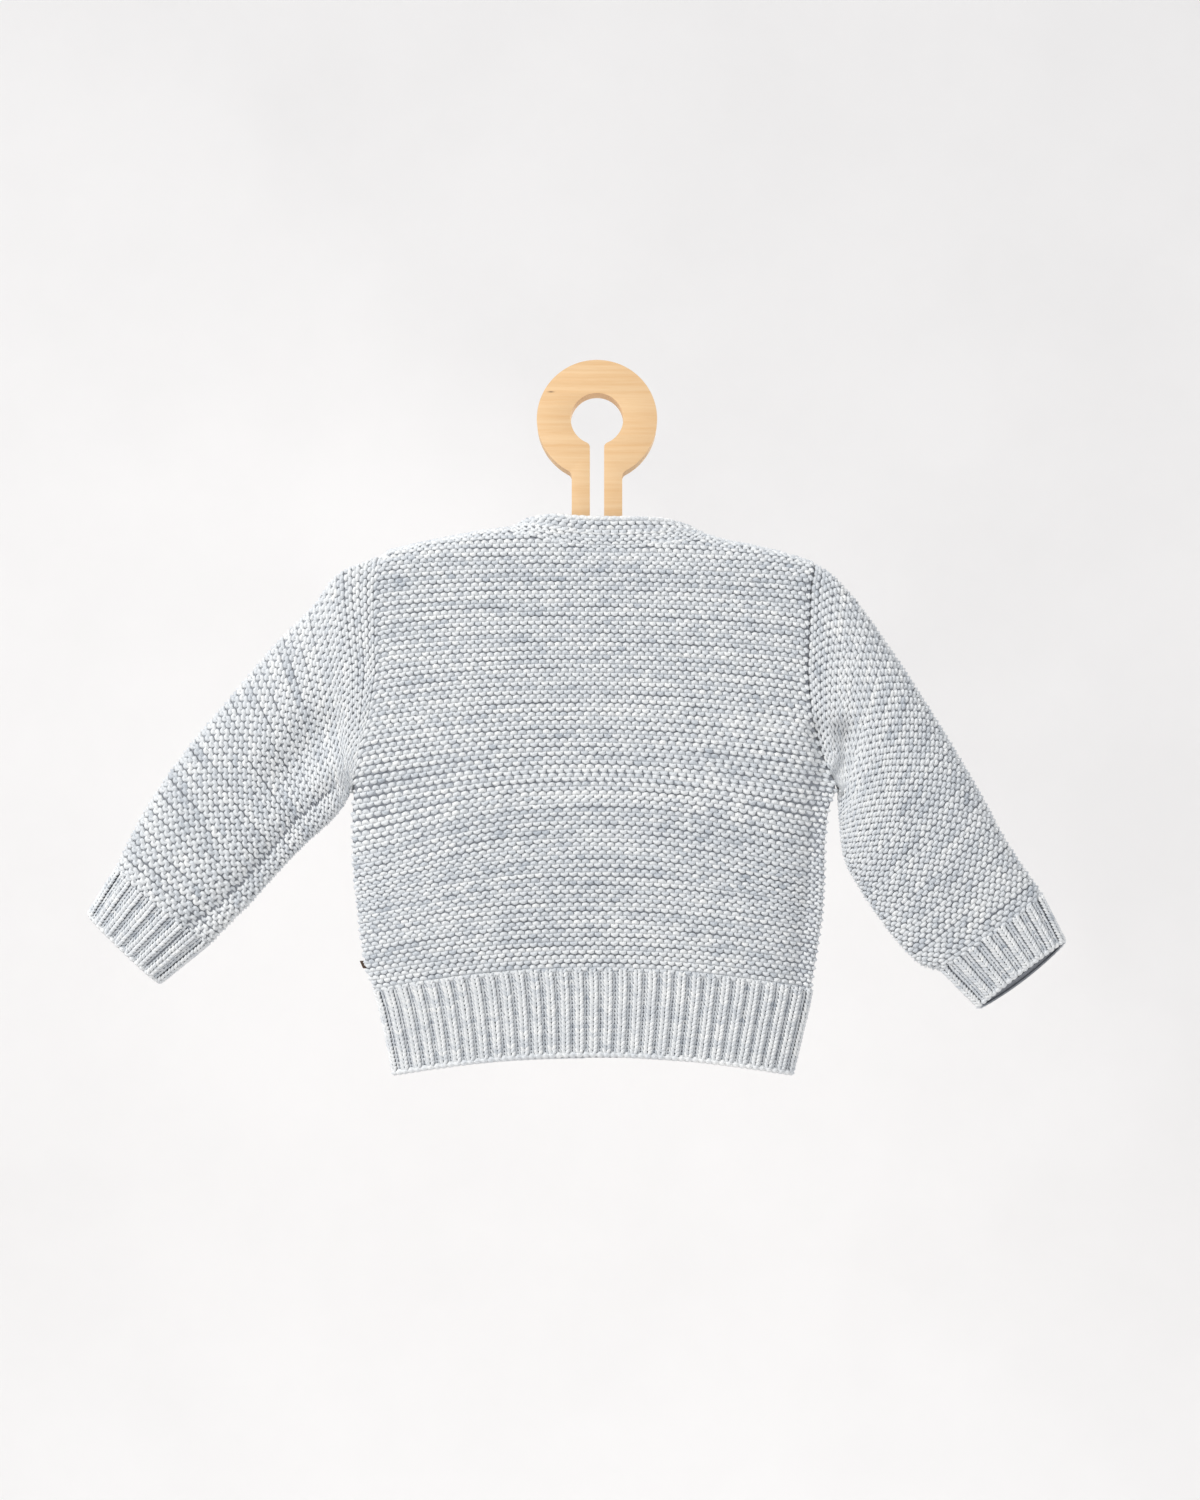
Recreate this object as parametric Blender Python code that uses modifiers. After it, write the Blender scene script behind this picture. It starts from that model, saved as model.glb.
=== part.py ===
"""Baby cardigan, hand knitted in garter stitch, on a flat plywood hanger.

Metres, +Z up. The origin is the seat of the nail that the hanger hangs on: the top of the ring's hole,
halfway through the plywood. The back of the cardigan faces -Y and its fronts face +Y, so that -X is
the wearer's left. The cloth hangs flat: every panel is a thin wall at y = middle plane +/- a depth,
and the depth falls to nothing at the shoulder and side seams, where back and front meet.
"""

from dataclasses import dataclass
from functools import lru_cache
from math import acos, atan2, cos, dist, pi, radians, sin, sqrt, tan
from typing import Callable

import bmesh
import bpy
import numpy as np

COLLECTION = "baby_cardigan"

# Finishes
YARN_COLOUR, YARN_ROUGHNESS = (0.56, 0.58, 0.60), 0.9
BUTTON_COLOUR, BUTTON_ROUGHNESS = (0.72, 0.70, 0.66), 0.35
TAPE_COLOUR, TAPE_ROUGHNESS = (0.10, 0.06, 0.04), 0.8
PLYWOOD_COLOUR, PLYWOOD_ROUGHNESS = (0.80, 0.58, 0.32), 0.45
CLOTH_SHARP, PLYWOOD_SHARP = radians(50), radians(35)  # an edge is shaded sharp above this angle

# Cloth
WALL = 0.0032  # thickness of the knitted cloth between its ridges
SEAM_GAP = 0.0003
ARMHOLE_GAP = 0.0007
NECK_GAP, LEAST_MITRE = 0.0006, 0.4
STEPS_TO_SETTLE, STEP_SHARE = 12, 0.7  # a point's height is found in this many steps, each part of the way
TRIES = 241  # places measured along a line to space points evenly on it
NO_TURN = 1e-9
RIDGE_HEIGHT = 0.0006  # a garter ridge stands this proud of the wall
BODY_RIDGES = 51
SLEEVE_RIDGES = 46
RIB_HEIGHT = 0.0011
BACK_COLUMNS = 10  # a panel's points across: crowded towards the side seams
FRONT_COLUMNS = 5, 4, 16  # outside, inside, and along the top and bottom edges
SHOULDER_COLUMNS = 8
LEFT_HALF, RIGHT_HALF = (-1.0, 0.0), (0.0, 1.0)
HEM_ROWS = 3
BACK_RIBS = 31
LEFT_FRONT_RIBS = 14
RIGHT_FRONT_RIBS = 13
CUFF_RIBS = 16

# Body
CREST_RADIUS = 0.0100  # how the cloth turns over the top of the hanger's arms
SIDE_POWER = 4.0  # how squarely the body's flat section turns in at the side seams
ARMHOLE_DEPTH = 0.0107
ARMPIT_Z = -0.2212
ARMPIT_ROUNDING = 0.0450
SHOULDER_FOLD = 0.042  # the fraction of the body's length that turns over the hanger's arm
ARMPIT_DROOP = 0.0100  # how far the rows sag towards each armpit
DROOP_ACROSS = 0.25
DROOP_ROW, DROOP_ROWS = 0.66, 0.14
# Hem lines: the height at the middle, and how far the line falls towards the sides
RIB_TOP_Z, RIB_TOP_DROP = -0.3225, 0.0125
BACK_HEM_Z, BACK_HEM_DROP = -0.3690, 0.0115
FRONT_HEM_Z, FRONT_HEM_DROP = -0.3725, 0.0080
# Rows of a panel's inside: over the fold, beside the armhole as far down as the armhole's end, and below
FOLD_ROWS, ARMHOLE_ROWS, LOWER_ROWS = 6, 24, 6
ARMHOLE_END = 0.66

# Each side of the body, armhole seam and side seam together: height, left x, right x
SIDES = (
    (-0.0917, -0.1218, 0.1225),
    (-0.0985, -0.1226, 0.1205),
    (-0.1110, -0.1234, 0.1184),
    (-0.1310, -0.1231, 0.1177),
    (-0.1560, -0.1224, 0.1167),
    (-0.1810, -0.1264, 0.1191),
    (-0.2025, -0.1320, 0.1256),
    (-0.2160, -0.1353, 0.1317),
    (-0.2212, -0.1364, 0.1344),
    (-0.2300, -0.1374, 0.1312),
    (-0.2440, -0.1378, 0.1290),
    (-0.2700, -0.1366, 0.1280),
    (-0.2940, -0.1340, 0.1266),
    (-0.3110, -0.1318, 0.1240),
    (-0.3250, -0.1288, 0.1218),
    (-0.3350, -0.1244, 0.1201),
    (-0.3580, -0.1184, 0.1148),
    (-0.3805, -0.1140, 0.1095),
)
# Half of the body's thickness at its middle: height, half depth
DEPTHS = (
    (-0.0640, 0.0115),
    (-0.0850, 0.0120),
    (-0.1200, 0.0130),
    (-0.1800, 0.0140),
    (-0.2600, 0.0135),
    (-0.3350, 0.0120),
    (-0.3805, 0.0112),
)
# The roof line, over which the shoulders hang: x, height. Its peak is the point that the shoulders aim at.
ROOF = (
    (-0.1218, -0.0917),
    (-0.1151, -0.0873),
    (-0.0984, -0.0834),
    (-0.0651, -0.0767),
    (-0.0480, -0.0745),
    (0.0060, -0.0640),
    (0.0606, -0.0785),
    (0.0684, -0.0812),
    (0.0851, -0.0845),
    (0.1017, -0.0884),
    (0.1195, -0.0940),
    (0.1225, -0.0960),
)
# The seam between the back and the neckband: x, height
BACK_NECK = (
    (-0.0480, -0.0745),
    (-0.0310, -0.0754),
    (-0.0200, -0.0780),
    (0.0040, -0.0802),
    (0.0315, -0.0791),
    (0.0467, -0.0780),
    (0.0606, -0.0785),
)
FRONT_NECK_Z = -0.1220  # the lowest point of the neckline
NECK_SCOOP = 2.0  # 1 makes the front neckline a straight V, and a higher power rounds it

# Sleeves. Each edge as seen from the back, from the armhole to the cuff: x, height
LEFT_UPPER_EDGE = (
    (-0.1221, -0.0917),
    (-0.1268, -0.0940),
    (-0.1446, -0.1023),
    (-0.1585, -0.1190),
    (-0.1757, -0.1357),
    (-0.2041, -0.1690),
    (-0.2319, -0.2024),
    (-0.2541, -0.2357),
    (-0.2697, -0.2663),
)
LEFT_LOWER_EDGE = (
    (-0.1367, -0.2212),
    (-0.1403, -0.2290),
    (-0.1450, -0.2357),
    (-0.1629, -0.2524),
    (-0.1790, -0.2691),
    (-0.1940, -0.2858),
    (-0.2107, -0.3025),
    (-0.2168, -0.3091),
)
RIGHT_UPPER_EDGE = (
    (0.1228, -0.0960),
    (0.1310, -0.1010),
    (0.1418, -0.1106),
    (0.1546, -0.1273),
    (0.1707, -0.1523),
    (0.1918, -0.1857),
    (0.2118, -0.2191),
    (0.2302, -0.2524),
    (0.2496, -0.2808),
)
RIGHT_LOWER_EDGE = (
    (0.1347, -0.2212),
    (0.1352, -0.2290),
    (0.1356, -0.2441),
    (0.1379, -0.2608),
    (0.1468, -0.2774),
    (0.1579, -0.2941),
    (0.1712, -0.3108),
    (0.1815, -0.3200),
    (0.1913, -0.3230),
)
# The cuff's mouth: its upper and its lower corner
LEFT_MOUTH = ((-0.2847, -0.2913), (-0.2441, -0.3305))
RIGHT_MOUTH = ((0.2622, -0.3064), (0.2130, -0.3442))
# Half of a sleeve's thickness: fraction of its length, half depth
SLEEVE_DEPTHS = (
    (0.00, 0.0107),
    (0.15, 0.0109),
    (0.50, 0.0108),
    (0.85, 0.0102),
    (1.00, 0.0096),
)
MOUTH_DEPTH = 0.0092
SLEEVE_POWER = 3.0
CAP_BLEND = 0.30  # over this much of its length the sleeve leaves the armhole's section for its own
SLEEVE_COLUMNS, SLEEVE_INNER_ROWS = 12, 12
BOW_FADE = 0.4  # over this much of its length the sleeve's rows take on the armhole seam's bow
WITHIN_ARMHOLE = 0.985  # nearer the seam's ends than this, a row of the side table gives the sleeve no point
LEAST_DEPTH = 0.0004
UNDERARM_CROWDING = 1.8  # the rows crowd together at the armpit and open out towards the cuff

# Neckband, front bands, buttons and side tab
NECKBAND_WIDTH = 0.0095
NECKBAND_RIDGES = 2
FRONT_NECK_STATIONS, BACK_NECK_STATIONS = 11, 18
STATION_CROWDING = 1.7  # the stations crowd together where the neckband turns over the shoulder
NECKBAND_LEAN = radians(63)  # the neckband leans this far in at the shoulders, from upright at the middle
BAND_LEFT, BAND_RIGHT = -0.0062, 0.0118
BAND_RIDGES, BAND_ROWS, BAND_INNER_STEP = 4, 13, 4  # the inside has every fourth point across
BAND_TOP_Z = FRONT_NECK_Z + NECKBAND_WIDTH
LAP = WALL + RIDGE_HEIGHT + SEAM_GAP  # the buttonhole band lies this far over the button band
LAP_START = 0.0450  # the right front starts to rise to the lap here
BUTTON_COUNT, BUTTON_SIDES = 5, 14
BUTTON_FIRST_Z, BUTTON_PITCH = -0.1240, 0.0590
BUTTON_RADIUS, BUTTON_THICKNESS = 0.0065, 0.0028
BUTTON_RIM_WIDTH, BUTTON_DISH = 0.0016, 0.0007
TAB_Z, TAB_HEIGHT, TAB_REACH, TAB_THICKNESS = -0.3195, 0.0044, 0.0026, 0.0016
TAB_FOLD = 0.0004

# Hanger, in its own plane before it leans
LEAN = radians(6)  # the foot of the hanger stands off the wall
HANG_Z = -0.1000  # the cloth follows the leaning hanger down to here, and hangs straight below
PLYWOOD = 0.0120
PLYWOOD_EDGE = 0.0015
RING_RADIUS, HOLE_RADIUS = 0.0337, 0.01475
RING_Z = -HOLE_RADIUS
LEG_HALF, SLOT_HALF = 0.0141, 0.0040
LEG_FILLET, YOKE_FILLET, KEYHOLE_FILLET = 0.0040, 0.0060, 0.0030
SLOT_END_Z = -0.0880
YOKE_Z, YOKE_FOOT_Z = -0.0815, -0.1060
ARM_REACH = 0.1090
ARM_TIP_HALF = 0.0070
ARM_CLEARANCE = 0.0033  # between the arm's top edge and the cloth's own fold over it
RING_POINTS, HOLE_POINTS, FILLET_POINTS, TIP_POINTS, ARM_POINTS, FOOT_POINTS = 13, 9, 4, 7, 9, 5
EDGE_TURN = radians(60)  # the plate's edges are rounded where they turn more than this
SAME_PLACE = 1e-6


@lru_cache(maxsize=None)
def sorted_column(table, column):
    """A table's first column in rising order, with another of its columns and that column's slopes."""
    rows = sorted(table)
    keys = np.array([row[0] for row in rows])
    values = np.array([row[column] for row in rows])
    return keys, values, np.gradient(values, keys)


def straight(table, at, column=1):
    """One column of a table at a value of its first column, on straight lines between the rows."""
    keys, values, _ = sorted_column(table, column)
    return float(np.interp(at, keys, values))


def smooth(table, at, column=1):
    """One column of a table at a value of its first column, on a smooth curve through the rows."""
    keys, values, slopes = sorted_column(table, column)
    at = min(max(at, keys[0]), keys[-1])
    k = min(max(int(np.searchsorted(keys, at)) - 1, 0), len(keys) - 2)
    span = keys[k + 1] - keys[k]
    t = (at - keys[k]) / span
    return (
        values[k] * (1 + 2 * t) * (1 - t) ** 2
        + slopes[k] * span * t * (1 - t) ** 2
        + values[k + 1] * t * t * (3 - 2 * t)
        + slopes[k + 1] * span * t * t * (t - 1)
    )


@lru_cache(maxsize=None)
def by_length(points):
    """A line's points, each with the fraction of the line's length that lies before it."""
    steps = [dist(a, b) for a, b in zip(points, points[1:])]
    travelled = np.concatenate([[0], np.cumsum(steps)]) / sum(steps)
    return tuple((float(fraction), *point) for fraction, point in zip(travelled, points))


def along(points, fraction):
    """The point at a fraction of the length of a smooth curve through points."""
    table = by_length(points)
    return np.array([smooth(table, fraction, 1), smooth(table, fraction, 2)])


def ease(t):
    """0 to 1 with a soft start and end."""
    t = min(max(t, 0.0), 1.0)
    return t * t * (3 - 2 * t)


def rounded(distance, radius):
    """0 at a fold and 1 from radius on, along a quarter of an ellipse."""
    return sqrt(max(1 - (1 - min(max(distance / radius, 0.0), 1.0)) ** 2, 0.0))


def side_x(z, side):
    """A side of the body: the armhole seam, in straight lines from row to row, and the side seam below it."""
    column = 1 if side < 0 else 2
    return straight(SIDES, z, column) if z > ARMPIT_Z else smooth(SIDES, z, column)


def middle_y(z):
    """The plane between back and fronts. It leans with the hanger and hangs straight below it."""
    return tan(LEAN) * max(z, HANG_Z)


def armhole_depth(z):
    """Half of the armhole's width at a height: nothing at the armpit and below it."""
    return ARMHOLE_DEPTH * rounded(z - ARMPIT_Z, ARMPIT_ROUNDING) if z > ARMPIT_Z else 0.0


def kept(depth, inset):
    """How much of an inset is taken from a wall's depth at its edge. The rest is taken from its outline."""
    return min(depth / inset, 1.0) if inset > 0 else 1.0


def outline_inset(depth, inset):
    """The part of an inset that is taken from the outline."""
    return inset * (1 - kept(depth, inset))


def body_depth(x, z, inset=0.0):
    """From the middle plane to the cloth. A positive inset gives the wall's inside, a negative a ridge."""
    edge = armhole_depth(z)
    left, right = side_x(z, -1), side_x(z, 1)
    half = (right - left) / 2 - outline_inset(edge, inset)
    across = min(abs(x - (left + right) / 2) / half, 1.0)
    edge -= inset * kept(edge, inset)
    full = smooth(DEPTHS, z) - inset
    under_roof = straight(ROOF, x) - z - inset
    flat = sqrt(edge**2 + (full**2 - edge**2) * (1 - across**SIDE_POWER))
    return flat * rounded(under_roof, CREST_RADIUS - inset)


def arch(x, z, drop):
    """A hem line that falls from its middle towards the side seams."""
    left, right = side_x(z - drop, -1), side_x(z - drop, 1)
    return z - drop * ((x - (left + right) / 2) / ((right - left) / 2)) ** 2


def rib_top(x):
    """Where the garter stitch ends and the hem rib starts."""
    return arch(x, RIB_TOP_Z, RIB_TOP_DROP)


def back_top(x):
    """The back's upper edge: shoulder seam, neck seam and shoulder seam."""
    on_neck = BACK_NECK[0][0] < x < BACK_NECK[-1][0]
    return smooth(BACK_NECK, x) if on_neck else straight(ROOF, x)


def neckline_x(z, neck, edge):
    """A front's neckline: a scooped V from the shoulder's neck point to the front edge."""
    neck_x, neck_z = neck
    fall = min(max((neck_z - z) / (neck_z - FRONT_NECK_Z), 0.0), 1.0)
    return edge + (neck_x - edge) * (1 - fall**NECK_SCOOP)


LEFT_EDGE_X = BAND_LEFT - SEAM_GAP
RIGHT_EDGE_X = BAND_RIGHT + SEAM_GAP


@dataclass(frozen=True)
class Panel:
    """A panel between four lines. left and right give x at a height, top and bottom give height at an x."""

    face: int  # -1 on the back, 1 on the front
    left: Callable
    right: Callable
    top: Callable
    bottom: Callable
    droops: tuple = ()  # which side edges reach an armpit

    def point(self, across, down, inset=0.0):
        """A point of the cloth, from its left edge to its right and from its top to its bottom."""
        near_row = ((down - DROOP_ROW) / DROOP_ROWS) ** 2
        sag = sum(
            ARMPIT_DROOP * np.exp(-(((across - end) / DROOP_ACROSS) ** 2) - near_row)
            for end in self.droops
        )
        x, z = 0.0, (self.top(0.0) + self.bottom(0.0)) / 2
        for _ in range(STEPS_TO_SETTLE):
            trim = outline_inset(armhole_depth(z), inset)
            left = self.left(z) + trim * (self.left is left_side)
            right = self.right(z) - trim * (self.right is right_side)
            x = left + (right - left) * across
            top = min(self.top(x), roof(x) - max(inset, 0.0))
            z += STEP_SHARE * (top + (self.bottom(x) - top) * down - sag - z)
        y = middle_y(z) + self.face * (body_depth(x, z, inset) + SEAM_GAP / 2 + self.rise(x))
        return (x, y, z)

    def rise(self, x):
        """The right front rises towards its edge, because its band laps over the other."""
        laps = self.face > 0 and x > BAND_RIGHT
        return LAP * ease((LAP_START - x) / (LAP_START - BAND_RIGHT)) if laps else 0.0

    def neckline(self, z):
        """This front's neckline."""
        return self.left(z) if self.left is right_neckline else self.right(z)

    def grid(self, rows, columns, inset):
        """Rows of points. inset is a number, or a function of the row's and the column's index."""
        depth = inset if callable(inset) else lambda row, column: inset
        return [
            [self.point(across, down, depth(row, column)) for column, across in enumerate(columns)]
            for row, down in enumerate(rows)
        ]

    def even_columns(self, count):
        """count + 1 fractions across that stand equally far apart on the cloth."""
        tries = np.linspace(0, 1, TRIES)
        points = np.array([self.point(across, 0.5) for across in tries])
        steps = np.linalg.norm(np.diff(points[:, :2], axis=0), axis=1)
        travelled = np.concatenate([[0], np.cumsum(steps)]) / steps.sum()
        return np.interp(np.linspace(0, 1, count + 1), travelled, tries)


def left_side(z):
    """The body's left side."""
    return side_x(z, -1)


def right_side(z):
    """The body's right side."""
    return side_x(z, 1)


def left_neckline(z):
    """The left front's neckline."""
    return neckline_x(z, BACK_NECK[0], LEFT_EDGE_X)


def right_neckline(z):
    """The right front's neckline."""
    return neckline_x(z, BACK_NECK[-1], RIGHT_EDGE_X)


def roof(x):
    """The line over which the shoulders hang."""
    return straight(ROOF, x)


def panel_bottom(x):
    """The lower edge of the garter panels."""
    return rib_top(x) + SEAM_GAP / 2


def hem_top(x):
    """The upper edge of the ribbed hems."""
    return rib_top(x) - SEAM_GAP / 2


def back_hem_bottom(x):
    """The back's lower edge."""
    return arch(x, BACK_HEM_Z, BACK_HEM_DROP)


def front_hem_bottom(x):
    """The fronts' lower edge, a little below the back's."""
    return arch(x, FRONT_HEM_Z, FRONT_HEM_DROP)


BACK = Panel(-1, left_side, right_side, back_top, panel_bottom, droops=(0, 1))
LEFT_FRONT = Panel(1, left_side, left_neckline, roof, panel_bottom, droops=(0,))
RIGHT_FRONT = Panel(1, right_neckline, right_side, roof, panel_bottom, droops=(1,))
BACK_HEM = Panel(-1, left_side, right_side, hem_top, back_hem_bottom)
LEFT_FRONT_HEM = Panel(1, left_side, left_neckline, hem_top, front_hem_bottom)
RIGHT_FRONT_HEM = Panel(1, right_neckline, right_side, hem_top, front_hem_bottom)


@dataclass(frozen=True)
class Sleeve:
    """A flattened tube between two edges, with a ribbed cuff on its end."""

    side: int  # -1 left, 1 right
    upper: tuple
    lower: tuple
    mouth: tuple

    def bow(self, z):
        """How far the armhole seam stands from the straight line between its ends."""
        (top_x, top_z), (foot_x, foot_z) = self.upper[0], self.lower[0]
        on_line = top_x + (foot_x - top_x) * (z - top_z) / (foot_z - top_z)
        return side_x(z, self.side) + self.side * ARMHOLE_GAP - on_line

    def turns(self, inset=0.0):
        """Turns round the sleeve that meet the armhole seam at each of its own points."""
        top, foot = self.upper[0][1], self.lower[0][1]
        middle, half = (top + foot) / 2, (top - foot) / 2 - inset
        heights = [row[0] for row in SIDES if abs(row[0] - middle) < WITHIN_ARMHOLE * half]
        down_back = [0.0] + [acos((z - middle) / half) for z in heights] + [pi]
        return down_back + [2 * pi - turn for turn in down_back[-2:0:-1]]

    def point(self, turn, down, inset=0.0):
        """A point of the sleeve. turn goes round from the upper edge over the back, down from the armhole."""
        high, low = along(self.upper, down), along(self.lower, down**UNDERARM_CROWDING)
        half = (high - low) / 2
        across = cos(turn)
        x, z = (high + low) / 2 + half * across * (1 - inset / np.linalg.norm(half))
        x += self.bow(z) * (1 - min(down / BOW_FADE, 1.0)) ** 2
        cap = armhole_depth(z)
        cap = max(cap - inset * kept(cap, inset), LEAST_DEPTH)
        cap *= rounded(roof(self.upper[0][0]) - z - inset, CREST_RADIUS - inset)
        tube = (smooth(SLEEVE_DEPTHS, down) - inset) * sqrt(1 - abs(across) ** SLEEVE_POWER)
        own = ease(down / CAP_BLEND)
        depth = cap * (1 - own) + tube * own
        if abs(sin(turn)) < NO_TURN:
            depth = 0.0
        return (x, middle_y(z) - np.sign(sin(turn)) * depth, z)

    def cuff_point(self, turn, down, inset=0.0):
        """A point of the cuff, from the sleeve's end at 0 to the mouth at 1."""
        starts = np.array([self.upper[-1], self.lower[-1]])
        ends = np.array(self.mouth)
        outward = (ends - starts).mean(axis=0)
        starts = starts + outward / np.linalg.norm(outward) * SEAM_GAP
        high, low = starts + (ends - starts) * down
        half = (high - low) / 2
        across = cos(turn)
        x, z = (high + low) / 2 + half * across * (1 - inset / np.linalg.norm(half))
        full = SLEEVE_DEPTHS[-1][1] + (MOUTH_DEPTH - SLEEVE_DEPTHS[-1][1]) * down
        depth = (full - inset) * sqrt(1 - abs(across) ** SLEEVE_POWER)
        return (x, middle_y(z) - np.sign(sin(turn)) * depth, z)

    def even_turns(self, count):
        """count turns that stand equally far apart round the cuff."""
        tries = np.linspace(0, 2 * pi, TRIES)
        points = np.array([self.cuff_point(turn, 0.5) for turn in tries])
        steps = np.linalg.norm(np.diff(points, axis=0), axis=1)
        travelled = np.concatenate([[0], np.cumsum(steps)]) / steps.sum()
        return np.interp(np.arange(count) / count, travelled, tries)


LEFT_SLEEVE = Sleeve(-1, LEFT_UPPER_EDGE, LEFT_LOWER_EDGE, LEFT_MOUTH)
RIGHT_SLEEVE = Sleeve(1, RIGHT_UPPER_EDGE, RIGHT_LOWER_EDGE, RIGHT_MOUTH)


def stitch_edges(mesh, first, second):
    """Joins two edges with triangles: point for point, or by the shorter diagonal where counts differ."""
    if len(first) == len(second):
        for k in range(len(first) - 1):
            mesh.faces.new((first[k], first[k + 1], second[k + 1]))
            mesh.faces.new((first[k], second[k + 1], second[k]))
        return
    a = b = 0
    while a < len(first) - 1 or b < len(second) - 1:
        if b == len(second) - 1:
            step_first = True
        elif a == len(first) - 1:
            step_first = False
        else:
            across = (first[a + 1].co - second[b].co).length
            step_first = across <= (second[b + 1].co - first[a].co).length
        if step_first:
            mesh.faces.new((first[a], first[a + 1], second[b]))
            a += 1
        else:
            mesh.faces.new((first[a], second[b + 1], second[b]))
            b += 1


def wall(name, outer, inner, material, closed=False):
    """A closed wall of cloth between an outer and an inner grid of points. A closed grid is a tube."""
    mesh = bmesh.new()
    grids = [[[mesh.verts.new(point) for point in row] for row in grid] for grid in (outer, inner)]
    if closed:
        grids = [[row + row[:1] for row in grid] for grid in grids]
    for grid in grids:
        for row, below in zip(grid, grid[1:]):
            if len(row) != len(below):
                stitch_edges(mesh, row, below)
                continue
            for k in range(len(row) - 1):
                mesh.faces.new((row[k], row[k + 1], below[k + 1], below[k]))
    out, within = grids
    stitch_edges(mesh, out[0], within[0])
    stitch_edges(mesh, out[-1], within[-1])
    if not closed:
        for end in (0, -1):
            stitch_edges(mesh, [row[end] for row in out], [row[end] for row in within])
    bmesh.ops.recalc_face_normals(mesh, faces=mesh.faces)
    return finish(name, mesh, material)


def finish(name, mesh, material, sharp=CLOTH_SHARP):
    """Turns a bmesh into a named object of the cardigan's collection."""
    data = bpy.data.meshes.new(name)
    mesh.to_mesh(data)
    mesh.free()
    data.shade_smooth()
    data.set_sharp_from_angle(angle=sharp)
    data.materials.append(material)
    piece = bpy.data.objects.new(name, data)
    bpy.data.collections[COLLECTION].objects.link(piece)
    return piece


def material(name, colour, roughness):
    """A Principled BSDF of one colour."""
    made = bpy.data.materials.new(name)
    made.use_nodes = True
    shader = made.node_tree.nodes["Principled BSDF"]
    shader.inputs["Base Color"].default_value = (*colour, 1)
    shader.inputs["Roughness"].default_value = roughness
    shader.inputs["Metallic"].default_value = 0
    return made


def yarn(piece):
    """The yarn of one piece of cloth."""
    return material(f"{piece}_yarn", YARN_COLOUR, YARN_ROUGHNESS)


def ridged(step_height):
    """Raises every second row."""
    return lambda row, column: -step_height * (row % 2)


def ribbed(row, column):
    """Raises two columns of every four."""
    return -RIB_HEIGHT * (column % 4 in (1, 2))


def crowded(count, start=-1.0, end=1.0):
    """Fractions from 0 to 1 that crowd towards a side seam, where the section turns in."""
    turns = np.sin(np.linspace(start, end, count + 1) * pi / 2)
    return (turns - turns[0]) / (turns[-1] - turns[0])


def back_edge_columns():
    """Fractions across the back's upper edge: its two shoulders, and the neck seam's own points between."""
    (left_x, left_z), (right_x, right_z) = BACK_NECK[0], BACK_NECK[-1]
    left, right = side_x(left_z, -1), side_x(left_z, 1)
    neck_start, neck_end = (left_x - left) / (right - left), (right_x - left) / (right - left)
    left_shoulder = neck_start * crowded(SHOULDER_COLUMNS, *LEFT_HALF)
    neck = neck_start + (neck_end - neck_start) * crowded(BACK_NECK_STATIONS)
    right_shoulder = neck_end + (1 - neck_end) * crowded(SHOULDER_COLUMNS, *RIGHT_HALF)
    return np.concatenate([left_shoulder[:-1], neck, right_shoulder[1:]])


def inner_rows():
    """Rows of a panel's inside: close over the shoulder's fold and beside the armhole, then far apart."""
    fold = SHOULDER_FOLD * (1 - np.cos(np.linspace(0, pi / 2, FOLD_ROWS)))
    beside_armhole = np.linspace(SHOULDER_FOLD, ARMHOLE_END, ARMHOLE_ROWS)[1:]
    below = np.linspace(ARMHOLE_END, 1, LOWER_ROWS)[1:]
    return np.concatenate([fold, beside_armhole, below])


def make_panel(name, panel, columns, inner_columns, edge_columns):
    """A garter panel. Its top and bottom edges have more points than its rows, to follow their seams."""
    outer = panel.grid(np.linspace(0, 1, 2 * BODY_RIDGES + 1), columns, ridged(RIDGE_HEIGHT))
    inner = panel.grid(inner_rows(), inner_columns, WALL)
    for grid, inset in ((outer, 0.0), (inner, WALL)):
        grid[0], grid[-1] = panel.grid((0, 1), edge_columns, inset)
    return wall(name, outer, inner, yarn(name))


def make_hem(name, panel, ribs):
    """The ribbed hem of a panel."""
    rows = np.linspace(0, 1, HEM_ROWS)
    outer = panel.grid(rows, panel.even_columns(4 * ribs), ribbed)
    inner = panel.grid(rows, panel.even_columns(ribs), WALL)
    return wall(name, outer, inner, yarn(name))


def make_sleeve(name, sleeve):
    """A garter sleeve. Its first row meets the armhole seam point for point."""
    around = np.arange(SLEEVE_COLUMNS) * 2 * pi / SLEEVE_COLUMNS
    outer = [
        [sleeve.point(turn, down, -RIDGE_HEIGHT * (row % 2)) for turn in (around if row else sleeve.turns())]
        for row, down in enumerate(np.linspace(0, 1, 2 * SLEEVE_RIDGES + 1))
    ]
    inner = [
        [sleeve.point(turn, down, WALL) for turn in (around if down else sleeve.turns(WALL))]
        for down in np.linspace(0, 1, SLEEVE_INNER_ROWS)
    ]
    return wall(name, outer, inner, yarn(name), closed=True)


def make_cuff(name, sleeve):
    """The ribbed cuff of a sleeve."""
    rows = np.linspace(0, 1, HEM_ROWS)
    turns, inner_turns = sleeve.even_turns(4 * CUFF_RIBS), sleeve.even_turns(CUFF_RIBS)
    outer = [
        [sleeve.cuff_point(turn, down, ribbed(0, column)) for column, turn in enumerate(turns)]
        for down in rows
    ]
    inner = [[sleeve.cuff_point(turn, down, WALL) for turn in inner_turns] for down in rows]
    return wall(name, outer, inner, yarn(name), closed=True)


def neck_rim(x, z, panel):
    """A point of a panel's neck edge on the outside of its wall, and the one across from it inside."""
    low = min(z, roof(x) - WALL)
    low_x = x if panel.face < 0 else panel.neckline(low)
    rise = panel.rise(x)
    outer = (x, middle_y(z) + panel.face * (body_depth(x, z) + SEAM_GAP / 2 + rise), z)
    inner_depth = body_depth(low_x, low, WALL) + SEAM_GAP / 2 + rise
    return np.array(outer), np.array((low_x, middle_y(low) + panel.face * inner_depth, low))


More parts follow.
